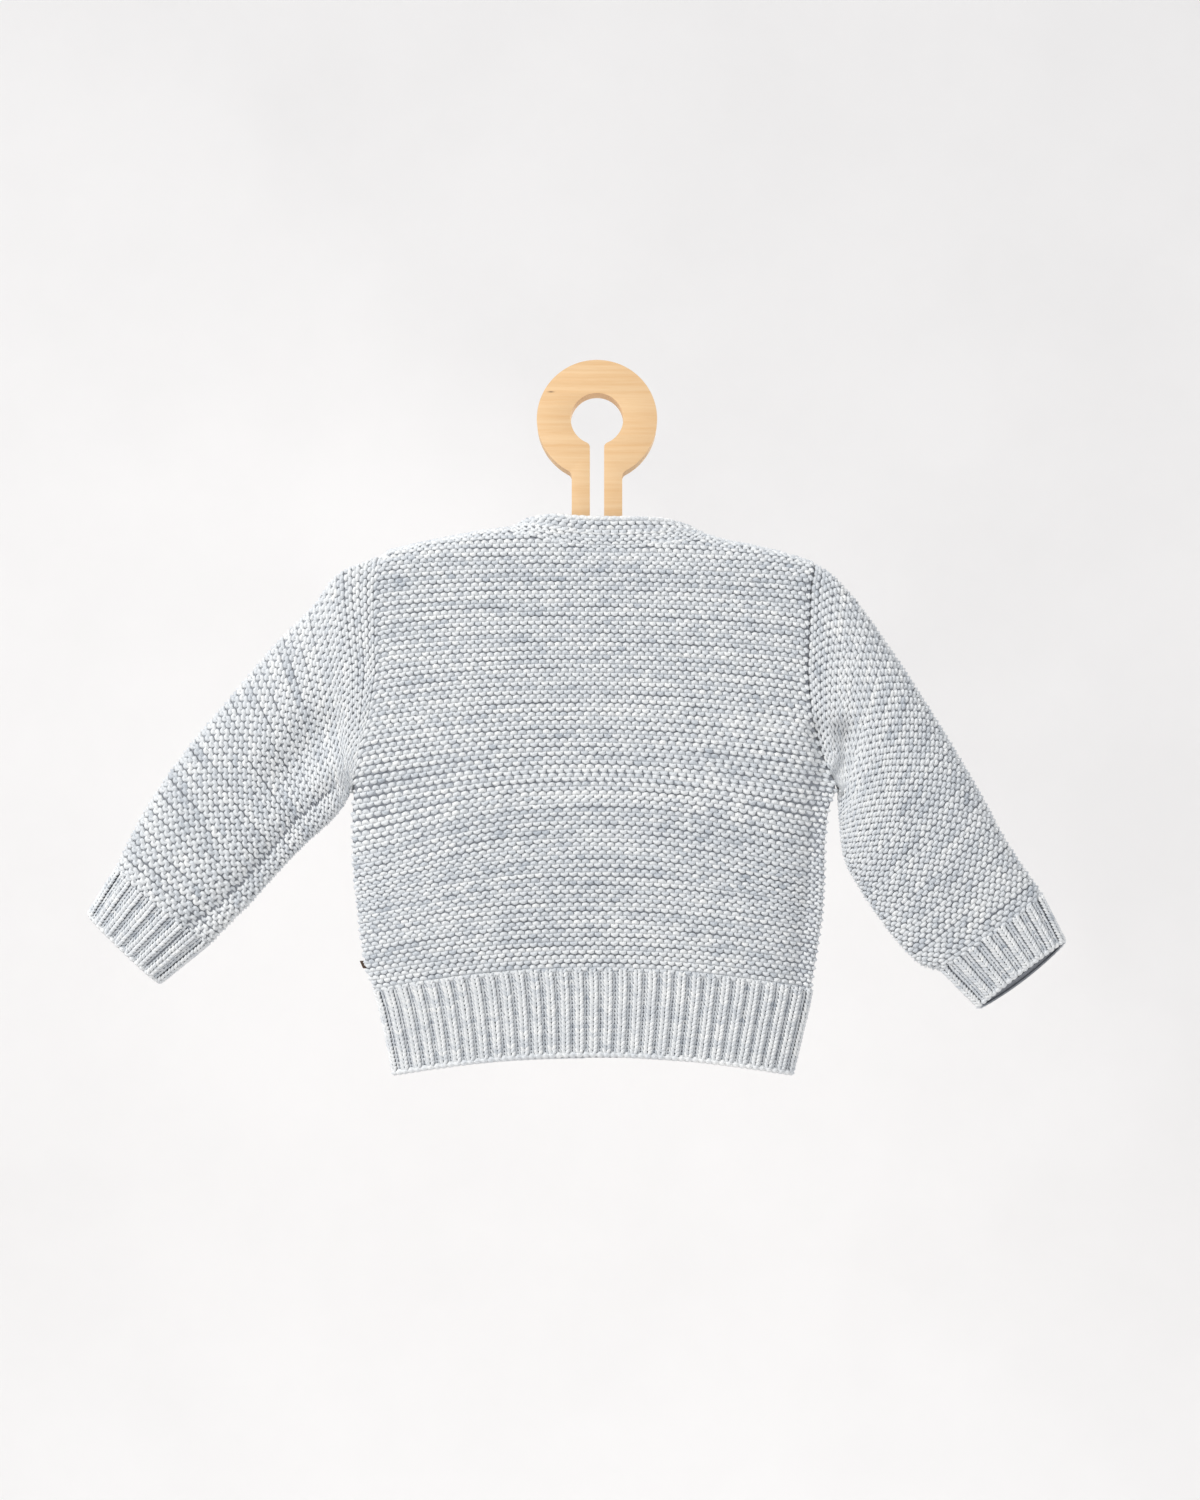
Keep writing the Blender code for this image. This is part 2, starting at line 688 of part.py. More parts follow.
def front_neck_stations(panel, neck, edge_x):
    """A front's part of the neck seam, from shoulder to front edge, with how far each point leans."""
    neck_x, neck_z = neck
    stations = []
    for share in np.linspace(0, 1, FRONT_NECK_STATIONS + 1)[1:]:
        fall = share**STATION_CROWDING
        z = neck_z + (FRONT_NECK_Z - neck_z) * fall
        lean = -NECKBAND_LEAN * sqrt(1 - fall**2)
        stations.append((*neck_rim(panel.neckline(z), z, panel), lean if neck_x < edge_x else -lean))
    return stations


def neck_stations():
    """The neck seam from the left front's edge, over left shoulder, back and right shoulder, to the right."""
    (left_x, _), (right_x, _) = BACK_NECK[0], BACK_NECK[-1]
    across_back = []
    for share in crowded(BACK_NECK_STATIONS):
        x = left_x + (right_x - left_x) * share
        across_back.append((*neck_rim(x, back_top(x), BACK), NECKBAND_LEAN * (2 * share - 1)))
    left = front_neck_stations(LEFT_FRONT, BACK_NECK[0], LEFT_EDGE_X)
    right = front_neck_stations(RIGHT_FRONT, BACK_NECK[-1], RIGHT_EDGE_X)
    return left[::-1] + across_back + right


def unit(vector):
    """A vector's direction."""
    return vector / np.linalg.norm(vector)


def gap_off_edge(before, at, after):
    """A step off the neck edge at one station, mitred where the edge turns, so that the gap stays even."""
    if before is at or at is after:
        return np.array((0, 0, NECK_GAP))
    sides = [unit(np.cross(at[0] - at[1], b[0] - a[0])) for a, b in ((before, at), (at, after))]
    middle = unit(sum(sides))
    return NECK_GAP * middle / max(middle @ sides[0], LEAST_MITRE)


def make_neckband():
    """Garter rows picked up round the neck, in one strip from front edge to front edge."""
    outer, inner = [], []
    stations = neck_stations()
    for k, (out, within, lean) in enumerate(stations):
        up = np.array((-sin(lean), 0, cos(lean)))
        gap = gap_off_edge(stations[max(k - 1, 0)], stations[k], stations[min(k + 1, len(stations) - 1)])
        outward = (out - within) / np.linalg.norm(out - within)
        rows = np.linspace(0, 1, 2 * NECKBAND_RIDGES + 1)
        outer.append([
            out + gap + up * NECKBAND_WIDTH * share + outward * RIDGE_HEIGHT * (row % 2)
            for row, share in enumerate(rows)
        ])
        inner.append([within + gap + up * NECKBAND_WIDTH * share for share in (0, 1)])
    return wall("neckband", outer, inner, yarn("neckband"))


def band_surface_y(x, z, inset=0.0):
    """The fronts' own surface, carried on across the gap between them."""
    return middle_y(z) + body_depth(x, z, inset) + SEAM_GAP / 2


def make_band(name, lift):
    """A garter band along a front edge, its ridges running down. The lap lifts the upper of the two."""
    across = np.linspace(BAND_LEFT, BAND_RIGHT, 2 * BAND_RIDGES + 1)
    outer, inner = [], []
    for down in np.linspace(0, 1, BAND_ROWS):
        row = [(x, BAND_TOP_Z + (front_hem_bottom(x) - BAND_TOP_Z) * down) for x in across]
        outer.append([
            (x, band_surface_y(x, z) + lift + RIDGE_HEIGHT * (column % 2), z)
            for column, (x, z) in enumerate(row)
        ])
        inner.append([(x, band_surface_y(x, z, WALL) + lift, z) for x, z in row[::BAND_INNER_STEP]])
    return wall(name, outer, inner, yarn(name))


def make_button(name, z):
    """A turned disc with a rim and a shallow dish, flat against the buttonhole band."""
    profile = (
        (0, BUTTON_THICKNESS - BUTTON_DISH),
        (BUTTON_RADIUS - 2 * BUTTON_RIM_WIDTH, BUTTON_THICKNESS - BUTTON_DISH),
        (BUTTON_RADIUS - BUTTON_RIM_WIDTH, BUTTON_THICKNESS),
        (BUTTON_RADIUS - BUTTON_RIM_WIDTH / 2, BUTTON_THICKNESS),
        (BUTTON_RADIUS, BUTTON_THICKNESS / 2),
        (BUTTON_RADIUS - BUTTON_RIM_WIDTH, 0),
        (0, 0),
    )
    mesh = bmesh.new()
    verts = [mesh.verts.new((radius, 0, height)) for radius, height in profile]
    for a, b in zip(verts, verts[1:]):
        mesh.edges.new((a, b))
    button = finish(name, mesh, material(f"{name}_shell", BUTTON_COLOUR, BUTTON_ROUGHNESS))
    turn = button.modifiers.new("turn", "SCREW")
    turn.steps = turn.render_steps = BUTTON_SIDES
    turn.use_merge_vertices = True
    turn.merge_threshold = SAME_PLACE
    x = (BAND_LEFT + BAND_RIGHT) / 2
    reach = (-BUTTON_RADIUS, 0, BUTTON_RADIUS)
    highest = max(band_surface_y(x + dx, z + dz) for dx in reach for dz in reach)
    button.location = (x, highest + LAP + RIDGE_HEIGHT + SEAM_GAP, z)
    button.rotation_euler = (-pi / 2, 0, 0)
    return button


def make_side_tab():
    """A small tape folded double and caught in the left side seam."""
    mesh = bmesh.new()
    bmesh.ops.create_cube(mesh, size=1)
    bmesh.ops.scale(mesh, vec=(TAB_REACH, TAB_THICKNESS, TAB_HEIGHT), verts=mesh.verts)
    seam_x = min(side_x(TAB_Z + end * TAB_HEIGHT / 2, -1) for end in (-1, 0, 1))
    place = (seam_x - SEAM_GAP - TAB_REACH / 2, middle_y(TAB_Z), TAB_Z)
    bmesh.ops.translate(mesh, vec=place, verts=mesh.verts)
    tab = finish("side_tab", mesh, material("brown_tape", TAPE_COLOUR, TAPE_ROUGHNESS))
    fold = tab.modifiers.new("fold", "BEVEL")
    fold.width = TAB_FOLD
    fold.segments = 1
    return tab


def arc(centre, radius, start, end, count):
    """Points of an arc, its ends included. Angles run anticlockwise from +X."""
    return [
        (centre[0] + radius * cos(turn), centre[1] + radius * sin(turn))
        for turn in np.linspace(start, end, count)
    ]


def neck_of_circle(radius, half_width, fillet, count):
    """A circle about the ring's centre, from its top down its right side, faired into an upright line."""
    centre = (half_width + fillet, RING_Z - sqrt((radius + fillet) ** 2 - (half_width + fillet) ** 2))
    turn = atan2(centre[1] - RING_Z, centre[0])
    round_part = arc((0, RING_Z), radius, pi / 2, turn, count)
    return round_part + arc(centre, fillet, turn + pi, pi, FILLET_POINTS)[1:]


def arm_top(x):
    """The upper edge of a hanger's arm, just under the cloth that it carries."""
    return min(YOKE_Z, (roof(x) - WALL - ARM_CLEARANCE) / cos(LEAN))


def hanger_half(side):
    """The outline from the top of the ring, down one side, to the foot of the yoke."""
    tip_x = ARM_REACH - ARM_TIP_HALF
    tip_z = arm_top(side * tip_x) - ARM_TIP_HALF
    points = neck_of_circle(RING_RADIUS, LEG_HALF, LEG_FILLET, RING_POINTS)
    corner_x = LEG_HALF + YOKE_FILLET
    points += arc((corner_x, YOKE_Z + YOKE_FILLET), YOKE_FILLET, pi, 1.5 * pi, FILLET_POINTS)
    points += [(x, arm_top(side * x)) for x in np.linspace(corner_x, tip_x, ARM_POINTS)[1:-1]]
    points += arc((tip_x, tip_z), ARM_TIP_HALF, pi / 2, -pi / 2, TIP_POINTS)
    for share in np.linspace(0, 1, FOOT_POINTS)[1:]:
        rise = (tip_z - ARM_TIP_HALF - YOKE_FOOT_Z) * (1 - share) ** 2
        points.append((tip_x * (1 - share), YOKE_FOOT_Z + rise))
    return [(side * x, z) for x, z in points]


def keyhole_half(side):
    """The hole and the slot under it, from the top of the hole to the foot of the slot."""
    points = neck_of_circle(HOLE_RADIUS, SLOT_HALF, KEYHOLE_FILLET, HOLE_POINTS)
    points += arc((0, SLOT_END_Z + SLOT_HALF), SLOT_HALF, 0, -pi / 2, FILLET_POINTS)
    return [(side * x, z) for x, z in points]


def make_hanger():
    """A plate with a ring, two legs and two arms, cut from plywood."""
    curve = bpy.data.curves.new("hanger_outline", "CURVE")
    curve.dimensions = "2D"
    curve.fill_mode = "BOTH"
    curve.extrude = PLYWOOD / 2
    for half in (hanger_half, keyhole_half):
        points = half(1) + half(-1)[-2:0:-1]
        spline = curve.splines.new("POLY")
        spline.points.add(len(points) - 1)
        for place, (x, z) in zip(spline.points, points):
            place.co = (x, z, 0, 1)
        spline.use_cyclic_u = True
    outline = bpy.data.objects.new("hanger_outline", curve)
    bpy.data.collections[COLLECTION].objects.link(outline)
    bpy.context.view_layer.update()
    plate = bpy.data.meshes.new_from_object(outline.evaluated_get(bpy.context.evaluated_depsgraph_get()))
    bpy.data.objects.remove(outline)
    mesh = bmesh.new()
    mesh.from_mesh(plate)
    bmesh.ops.remove_doubles(mesh, verts=mesh.verts, dist=SAME_PLACE)
    bmesh.ops.recalc_face_normals(mesh, faces=mesh.faces)
    plywood = material("birch_plywood", PLYWOOD_COLOUR, PLYWOOD_ROUGHNESS)
    hanger = finish("hanger", mesh, plywood, PLYWOOD_SHARP)
    rounding = hanger.modifiers.new("rounded_edge", "BEVEL")
    rounding.width = PLYWOOD_EDGE
    rounding.segments = 1
    rounding.limit_method = "ANGLE"
    rounding.angle_limit = EDGE_TURN
    hanger.rotation_euler = (pi / 2 - LEAN, 0, 0)
    return hanger


def main():
    """Builds the whole cardigan and its hanger."""
    for old in list(bpy.data.objects):
        bpy.data.objects.remove(old)
    bpy.context.scene.collection.children.link(bpy.data.collections.new(COLLECTION))
    make_panel("back_panel", BACK, crowded(BACK_COLUMNS), crowded(BACK_COLUMNS), back_edge_columns())
    fronts = (("left_front", LEFT_FRONT, LEFT_HALF), ("right_front", RIGHT_FRONT, RIGHT_HALF))
    for name, panel, span in fronts:
        columns, inner_columns, edge = (crowded(n, *span) for n in FRONT_COLUMNS)
        make_panel(name, panel, columns, inner_columns, edge)
    make_hem("back_hem", BACK_HEM, BACK_RIBS)
    make_hem("left_front_hem", LEFT_FRONT_HEM, LEFT_FRONT_RIBS)
    make_hem("right_front_hem", RIGHT_FRONT_HEM, RIGHT_FRONT_RIBS)
    for side, sleeve in (("left", LEFT_SLEEVE), ("right", RIGHT_SLEEVE)):
        make_sleeve(f"{side}_sleeve", sleeve)
        make_cuff(f"{side}_cuff", sleeve)
    make_neckband()
    make_band("button_band", 0.0)
    make_band("buttonhole_band", LAP)
    for k in range(BUTTON_COUNT):
        make_button(f"button_{k + 1}", BUTTON_FIRST_Z - k * BUTTON_PITCH)
    make_side_tab()
    make_hanger()


main()
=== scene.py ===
"""Dresses the baby cardigan: every stitch as yarn over a thin ground of cloth, on its plywood hanger.

Metres, in the frame of the solids: +Z up, the back of the cardigan towards -Y, the nail's seat at the origin.
Each piece of cloth is a form that gives its places from two fractions, u along the knitted rows and v from
the first row to the last. The ground and all the yarn on it come from that one form.
"""

import logging
from dataclasses import dataclass, field
from enum import Enum
from functools import partial
from math import atan2, cos, pi, radians, sin, sqrt, tan
from typing import Callable, Optional

import bmesh
import bpy
import numpy as np
from bpy.types import Material, Mesh, NodeSocket, Object
from mathutils import Matrix, Vector


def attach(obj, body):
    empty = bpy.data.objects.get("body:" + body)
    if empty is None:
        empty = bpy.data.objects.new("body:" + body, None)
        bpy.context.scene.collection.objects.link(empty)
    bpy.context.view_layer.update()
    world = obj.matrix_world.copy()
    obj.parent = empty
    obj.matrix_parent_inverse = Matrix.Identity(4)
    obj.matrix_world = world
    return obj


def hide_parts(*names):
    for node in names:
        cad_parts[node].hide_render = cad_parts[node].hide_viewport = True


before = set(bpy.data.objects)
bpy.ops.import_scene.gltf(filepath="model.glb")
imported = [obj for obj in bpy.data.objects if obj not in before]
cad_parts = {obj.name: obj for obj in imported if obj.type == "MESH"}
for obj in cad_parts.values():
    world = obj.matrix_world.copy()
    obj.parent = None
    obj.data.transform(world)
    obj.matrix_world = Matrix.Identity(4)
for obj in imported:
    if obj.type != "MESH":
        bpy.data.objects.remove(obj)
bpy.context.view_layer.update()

logging.basicConfig(level=logging.INFO, format="%(message)s")
log = logging.getLogger("baby_cardigan")

Array = np.ndarray
Rows = tuple[tuple[float, ...], ...]
Shape = Callable[..., Array]
Outline = list[tuple[float, float]]
Colour = tuple[float, float, float]

BODY = "root"
TONE, OUTWARD, THICKNESS, STITCH_MAP = "tone", "outward", "thickness", "knit"
STITCH, RIDGE = 0.00456, 0.00475  # the gauge: the width of a stitch and the height of a ridge
LEAN = radians(6)  # of the hanger, whose foot stands off the wall, and of the shoulders that lie on it
SEED_STEP, SEED_START = 1000, 50  # far enough apart that no two ridges share their random draws
WELD = 1e-6  # points nearer to each other than this become one
NOTHING = 1e-12  # a length, or a part of a turn, too small to count


class Side(Enum):
    """A side of the garment as it hangs with its back to the viewer."""

    LEFT = -1
    RIGHT = 1


class Face(Enum):
    """Which way a panel of cloth looks."""

    BACK = -1
    FRONT = 1


class Slot(Enum):
    """The material slots of the part."""

    BODY = "body_knit"
    SLEEVE = "sleeve_knit"
    RIB = "rib_knit"
    BAND = "band_knit"
    BUTTON = "button"
    TAPE = "tape"
    PLYWOOD = "plywood"


# ---------------------------------------------------------------------------------------------- forms


@dataclass(frozen=True)
class Measure:
    """A measure that changes along a row of places, such as a depth at each height."""

    rows: Rows
    column: int = 1

    def columns(self) -> tuple[Array, Array]:
        """The places in rising order, and the measure at each."""
        ordered = sorted(self.rows)
        return np.array([row[0] for row in ordered]), np.array([row[self.column] for row in ordered])

    def straight(self, at: Array) -> Array:
        """The measure at some places, on straight lines between the rows."""
        return np.interp(at, *self.columns())

    def smooth(self, at: Array) -> Array:
        """The measure on a smooth curve through the rows.

        Args:
            at: Places, in metres or as fractions.

        Returns:
            The measure at each of them.
        """
        keys, values = self.columns()
        slopes = np.gradient(values, keys)
        at = np.clip(at, keys[0], keys[-1])
        k = np.clip(np.searchsorted(keys, at) - 1, 0, len(keys) - 2)
        span = keys[k + 1] - keys[k]
        t = (at - keys[k]) / span
        return (
            values[k] * (1 + 2 * t) * (1 - t) ** 2
            + slopes[k] * span * t * (1 - t) ** 2
            + values[k + 1] * t * t * (3 - 2 * t)
            + slopes[k + 1] * span * t * t * (t - 1)
        )


@dataclass(frozen=True)
class EdgeLine:
    """A smooth line through points (x, height), followed by the fraction of its length."""

    points: Rows

    def at(self, fraction: Array) -> tuple[Array, Array]:
        """The x and the height at fractions of the line's length.

        Args:
            fraction: Fractions of the length.

        Returns:
            The x of each, and the height of each.
        """
        way = travelled(np.array(self.points))
        table = tuple((float(length), *point) for length, point in zip(way / way[-1], self.points))
        return Measure(table, 1).smooth(fraction), Measure(table, 2).smooth(fraction)


def alike(*values: Array) -> list[Array]:
    """Values as arrays of one shape."""
    return np.broadcast_arrays(*(np.asarray(each, dtype=float) for each in values))


def travelled(points: Array) -> Array:
    """The length of a line of points, or of each of several, up to each point."""
    steps = np.linalg.norm(np.diff(points, axis=-2), axis=-1)
    return np.concatenate([np.zeros_like(steps[..., :1]), np.cumsum(steps, axis=-1)], axis=-1)


def ease(t: Array) -> Array:
    """0 to 1 with a soft start and end."""
    t = np.clip(t, 0.0, 1.0)
    return t * t * (3 - 2 * t)


def rounded(distance: Array, radius: Array) -> Array:
    """0 at a fold and 1 from radius on, along a quarter of an ellipse."""
    return np.sqrt(np.clip(1 - (1 - np.clip(distance / radius, 0, 1)) ** 2, 0, None))


def even(count: int) -> Array:
    """Even fractions from 0 to 1."""
    return np.linspace(0, 1, count)


def crowded(count: int, start: float = -1.0, end: float = 1.0) -> Array:
    """Fractions from 0 to 1 that crowd towards both ends, or towards one where the other is 0."""
    turns = np.sin(np.linspace(start, end, count + 1) * pi / 2)
    return (turns - turns[0]) / (turns[-1] - turns[0])


def read_columns(at: Array, keys: Array, values: Array) -> Array:
    """Reads values along columns of samples.

    Args:
        at: Where to read each column.
        keys: Rising along each column, columns by samples.
        values: Columns by samples by values.

    Returns:
        The values, places by columns by values.
    """
    read = [[np.interp(at, key, line) for line in column.T] for key, column in zip(keys, values)]
    return np.array(read).transpose(2, 0, 1)


def kept(depth: Array, inset: Array) -> Array:
    """How much of an inset is taken from a wall's depth at its edge, the rest from its outline."""
    safe = np.where(inset > 0, inset, 1.0)
    return np.where(inset > 0, np.minimum(depth / safe, 1.0), 1.0)


@dataclass(frozen=True)
class BodyForm:
    """The flat section of the body, and the lines where its panels meet."""

    wall: float = 0.0032
    seam_gap: float = 0.0003
    armhole_gap: float = 0.0007
    crest_radius: float = 0.0100
    side_power: float = 4.0
    armhole_depth: float = 0.0107
    armpit_z: float = -0.2212
    armpit_rounding: float = 0.0450
    lean: float = LEAN
    hang_z: float = -0.1000
    rib_top: tuple[float, float] = (-0.3225, 0.0125)
    back_hem: tuple[float, float] = (-0.3690, 0.0115)
    front_hem: tuple[float, float] = (-0.3725, 0.0080)
    front_neck_z: float = -0.1220
    neck_scoop: float = 2.0
    band_left: float = -0.0062
    band_right: float = 0.0118
    lap: float = 0.0041
    lap_start: float = 0.0450
    sides: Rows = (
        (-0.0917, -0.1218, 0.1225),
        (-0.0985, -0.1226, 0.1205),
        (-0.1110, -0.1234, 0.1184),
        (-0.1310, -0.1231, 0.1177),
        (-0.1560, -0.1224, 0.1167),
        (-0.1810, -0.1264, 0.1191),
        (-0.2025, -0.1320, 0.1256),
        (-0.2160, -0.1353, 0.1317),
        (-0.2212, -0.1364, 0.1344),
        (-0.2300, -0.1374, 0.1312),
        (-0.2440, -0.1378, 0.1290),
        (-0.2700, -0.1366, 0.1280),
        (-0.2940, -0.1340, 0.1266),
        (-0.3110, -0.1318, 0.1240),
        (-0.3250, -0.1288, 0.1218),
        (-0.3350, -0.1244, 0.1201),
        (-0.3580, -0.1184, 0.1148),
        (-0.3805, -0.1140, 0.1095),
    )
    depths: Rows = (
        (-0.0640, 0.0115),
        (-0.0850, 0.0120),
        (-0.1200, 0.0130),
        (-0.1800, 0.0140),
        (-0.2600, 0.0135),
        (-0.3350, 0.0120),
        (-0.3805, 0.0112),
    )
    roof_line: Rows = (
        (-0.1218, -0.0917),
        (-0.1151, -0.0873),
        (-0.0984, -0.0834),
        (-0.0651, -0.0767),
        (-0.0480, -0.0745),
        (0.0060, -0.0640),
        (0.0606, -0.0785),
        (0.0684, -0.0812),
        (0.0851, -0.0845),
        (0.1017, -0.0884),
        (0.1195, -0.0940),
        (0.1225, -0.0960),
    )
    back_neck: Rows = (
        (-0.0480, -0.0745),
        (-0.0310, -0.0754),
        (-0.0200, -0.0780),
        (0.0040, -0.0802),
        (0.0315, -0.0791),
        (0.0467, -0.0780),
        (0.0606, -0.0785),
    )

    def side_x(self, z: Array, side: Side) -> Array:
        """The armhole seam in straight lines, and the side seam below it on a smooth curve."""
        line = Measure(self.sides, 1 if side is Side.LEFT else 2)
        return np.where(z > self.armpit_z, line.straight(z), line.smooth(z))

    def middle_y(self, z: Array) -> Array:
        """The plane between back and fronts: it leans with the hanger and hangs straight below it."""
        return tan(self.lean) * np.maximum(z, self.hang_z)

    def armhole(self, z: Array) -> Array:
        """Half of the armhole's width at a height."""
        return self.armhole_depth * rounded(np.maximum(z - self.armpit_z, 0.0), self.armpit_rounding)

    def roof(self, x: Array) -> Array:
        """The line over which the shoulders hang."""
        return Measure(self.roof_line).straight(x)

    def depth(self, x: Array, z: Array, inset: Array = 0.0) -> Array:
        """How far the cloth stands from the middle plane.

        Args:
            x: Places across the body.
            z: Heights.
            inset: How far under the cloth's outside.

        Returns:
            The depth at each place.
        """
        inset = np.asarray(inset, dtype=float)
        edge = self.armhole(z)
        left, right = self.side_x(z, Side.LEFT), self.side_x(z, Side.RIGHT)
        held = kept(edge, inset)
        half = (right - left) / 2 - inset * (1 - held)
        across = np.minimum(np.abs(x - (left + right) / 2) / half, 1.0)
        edge = edge - inset * held
        full = Measure(self.depths).smooth(z) - inset
        under_roof = self.roof(x) - z - inset
        flat = np.sqrt(np.clip(edge**2 + (full**2 - edge**2) * (1 - across**self.side_power), 0, None))
        return flat * rounded(under_roof, self.crest_radius - inset)

    def arch(self, x: Array, line: tuple[float, float], rise: float = 0.0) -> Array:
        """A hem line that falls from its middle towards the side seams.

        Args:
            x: Places across the body.
            line: The line's height in the middle, and how far it falls.
            rise: How far above that line.

        Returns:
            The height at each place.
        """
        z, drop = line
        left, right = (self.side_x(np.array(z - drop), side) for side in Side)
        return z - drop * ((x - (left + right) / 2) / ((right - left) / 2)) ** 2 + rise

    def back_top(self, x: Array) -> Array:
        """The back's upper edge: shoulder seam, neck seam and shoulder seam."""
        on_neck = (x > self.back_neck[0][0]) & (x < self.back_neck[-1][0])
        return np.where(on_neck, Measure(self.back_neck).smooth(x), self.roof(x))

    def neckline(self, z: Array, side: Side) -> Array:
        """A front's neckline and front edge: a scooped V from the shoulder's neck point.

        Args:
            z: Heights.
            side: Which front.

        Returns:
            The x at each height.
        """
        if side is Side.LEFT:
            (neck_x, neck_z), edge = self.back_neck[0], self.band_left - self.seam_gap
        else:
            (neck_x, neck_z), edge = self.back_neck[-1], self.band_right + self.seam_gap
        fall = np.clip((neck_z - z) / (neck_z - self.front_neck_z), 0, 1)
        return edge + (neck_x - edge) * (1 - fall**self.neck_scoop)

    def band_y(self, x: Array, z: Array, inset: Array = 0.0) -> Array:
        """The fronts' own surface, carried on across the gap between them."""
        return self.middle_y(z) + self.depth(x, z, inset) + self.seam_gap / 2


@dataclass(frozen=True)
class PanelForm:
    """A flat panel of the body, between its sides and its upper and lower line."""

    body: BodyForm
    face: Face
    left: Callable[[Array], Array]
    right: Callable[[Array], Array]
    top: Callable[[Array], Array]
    bottom: Callable[[Array], Array]
    trimmed: tuple[bool, bool] = (True, True)
    droops: tuple[float, ...] = ()
    droop: float = 0.0100
    droop_across: float = 0.25
    droop_rows: tuple[float, float] = (0.66, 0.14)
    steps: int = 12
    step_share: float = 0.7
    level_top: float = -0.0765
    past_neck: float = -0.12
    hem_depth: float = 0.000005
    samples: int = 900

    def rise(self, x: Array) -> Array:
        """The right front rises towards its edge, because its band laps over the other.

        Args:
            x: Places across the body.

        Returns:
            The step off the other front at each place.
        """
        if self.face is Face.BACK:
            return np.zeros_like(x)
        lift = self.body.lap * ease((self.body.lap_start - x) / (self.body.lap_start - self.body.band_right))
        return np.where(x > self.body.band_right, lift, 0.0)

    def sag(self, u: Array, v: Array) -> Array:
        """How far the rows bend down towards the armpits.

        Args:
            u: Fractions across.
            v: Fractions down.

        Returns:
            The fall at each pair.
        """
        near_row = ((v - self.droop_rows[0]) / self.droop_rows[1]) ** 2
        near_end = [((u - end) / self.droop_across) ** 2 for end in self.droops]
        return sum((self.droop * np.exp(-near - near_row) for near in near_end), np.zeros_like(v))

    def surface(self, x: Array, z: Array, inset: Array = 0.0) -> Array:
        """Points of the cloth at places x and z, so far under its outside."""
        depth = self.body.depth(x, z, inset) + self.body.seam_gap / 2 + self.rise(x)
        return np.stack([x, self.body.middle_y(z) + self.face.value * depth, z], axis=-1)

    def columns(self, columns: int) -> tuple[Array, Array, Array]:
        """The cloth along even columns, from the lower edge up to the top one, with the knitted rows level.

        Args:
            columns: How many columns.

        Returns:
            The points, columns by samples by three; the row that passes each, as a fraction from the level of
            the neck down to the lower edge; and the length of cloth up to the top edge.
        """
        u = np.linspace(0, 1, columns)[:, None]
        level = np.linspace(1, self.past_neck, self.samples)[None, :]
        u, level = np.broadcast_arrays(u, level)
        x = np.zeros_like(level)
        for _ in range(self.steps):
            foot = self.bottom(x)
            z = foot + (self.level_top - foot) * (1 - level) - self.sag(u, level)
            z = np.minimum(z, self.top(x) - self.hem_depth)
            left, right = self.left(z), self.right(z)
            x = left + (right - left) * u
        points = self.surface(x, z)
        way = travelled(points)
        row = level - (way - (z - z[:, :1])) / (self.level_top - self.bottom(x[:, :1]))
        return points, row, way[:, -1:] - way

    def level_rows(self, first: float, rows: int = 460, columns: int = 240) -> tuple[Array, Array]:
        """The cloth on a grid whose rows are the knitted ones.

        Args:
            first: The fraction at which the grid's first row lies, where 0 is the level of the neck.
            rows: Of the grid.
            columns: Of the grid.

        Returns:
            The points, rows by columns by three, and the length of cloth from each to the top edge.
        """
        points, row, spare = self.columns(columns)
        values = np.concatenate([points, spare[..., None]], axis=-1)
        grid = read_columns(-np.linspace(first, 1, rows), -row, values)
        return grid[..., :3], grid[..., 3]

    def rim_rows(self, depth: float, rows: int = 24, columns: int = 240) -> Array:
        """The cloth on a grid whose rows follow its top edge.

        Args:
            depth: How far down from the edge the grid reaches.
            rows: Of the grid.
            columns: Of the grid.

        Returns:
            The points, rows by columns by three.
        """
        points, _, spare = self.columns(columns)
        return read_columns(np.linspace(0, depth, rows), spare[:, ::-1], points[:, ::-1])

    def place(self, u: Array, v: Array, inset: Array = 0.0) -> Array:
        """Places of the cloth.

        Args:
            u: Fractions across, from the left edge to the right.
            v: Fractions down, from the top to the bottom.
            inset: How far under the cloth's outside.

        Returns:
            One point for each pair.
        """
        u, v, inset = alike(u, v, inset)
        sag = self.sag(u, v)
        x = np.zeros_like(u)
        z = (self.top(x) + self.bottom(x)) / 2
        for _ in range(self.steps):
            trim = inset * (1 - kept(self.body.armhole(z), inset))
            left = self.left(z) + trim * self.trimmed[0]
            right = self.right(z) - trim * self.trimmed[1]
            x = left + (right - left) * u
            top = np.minimum(self.top(x), self.body.roof(x) - np.maximum(inset, 0.0))
            z = z + self.step_share * (top + (self.bottom(x) - top) * v - sag - z)
        return self.surface(x, z, inset)


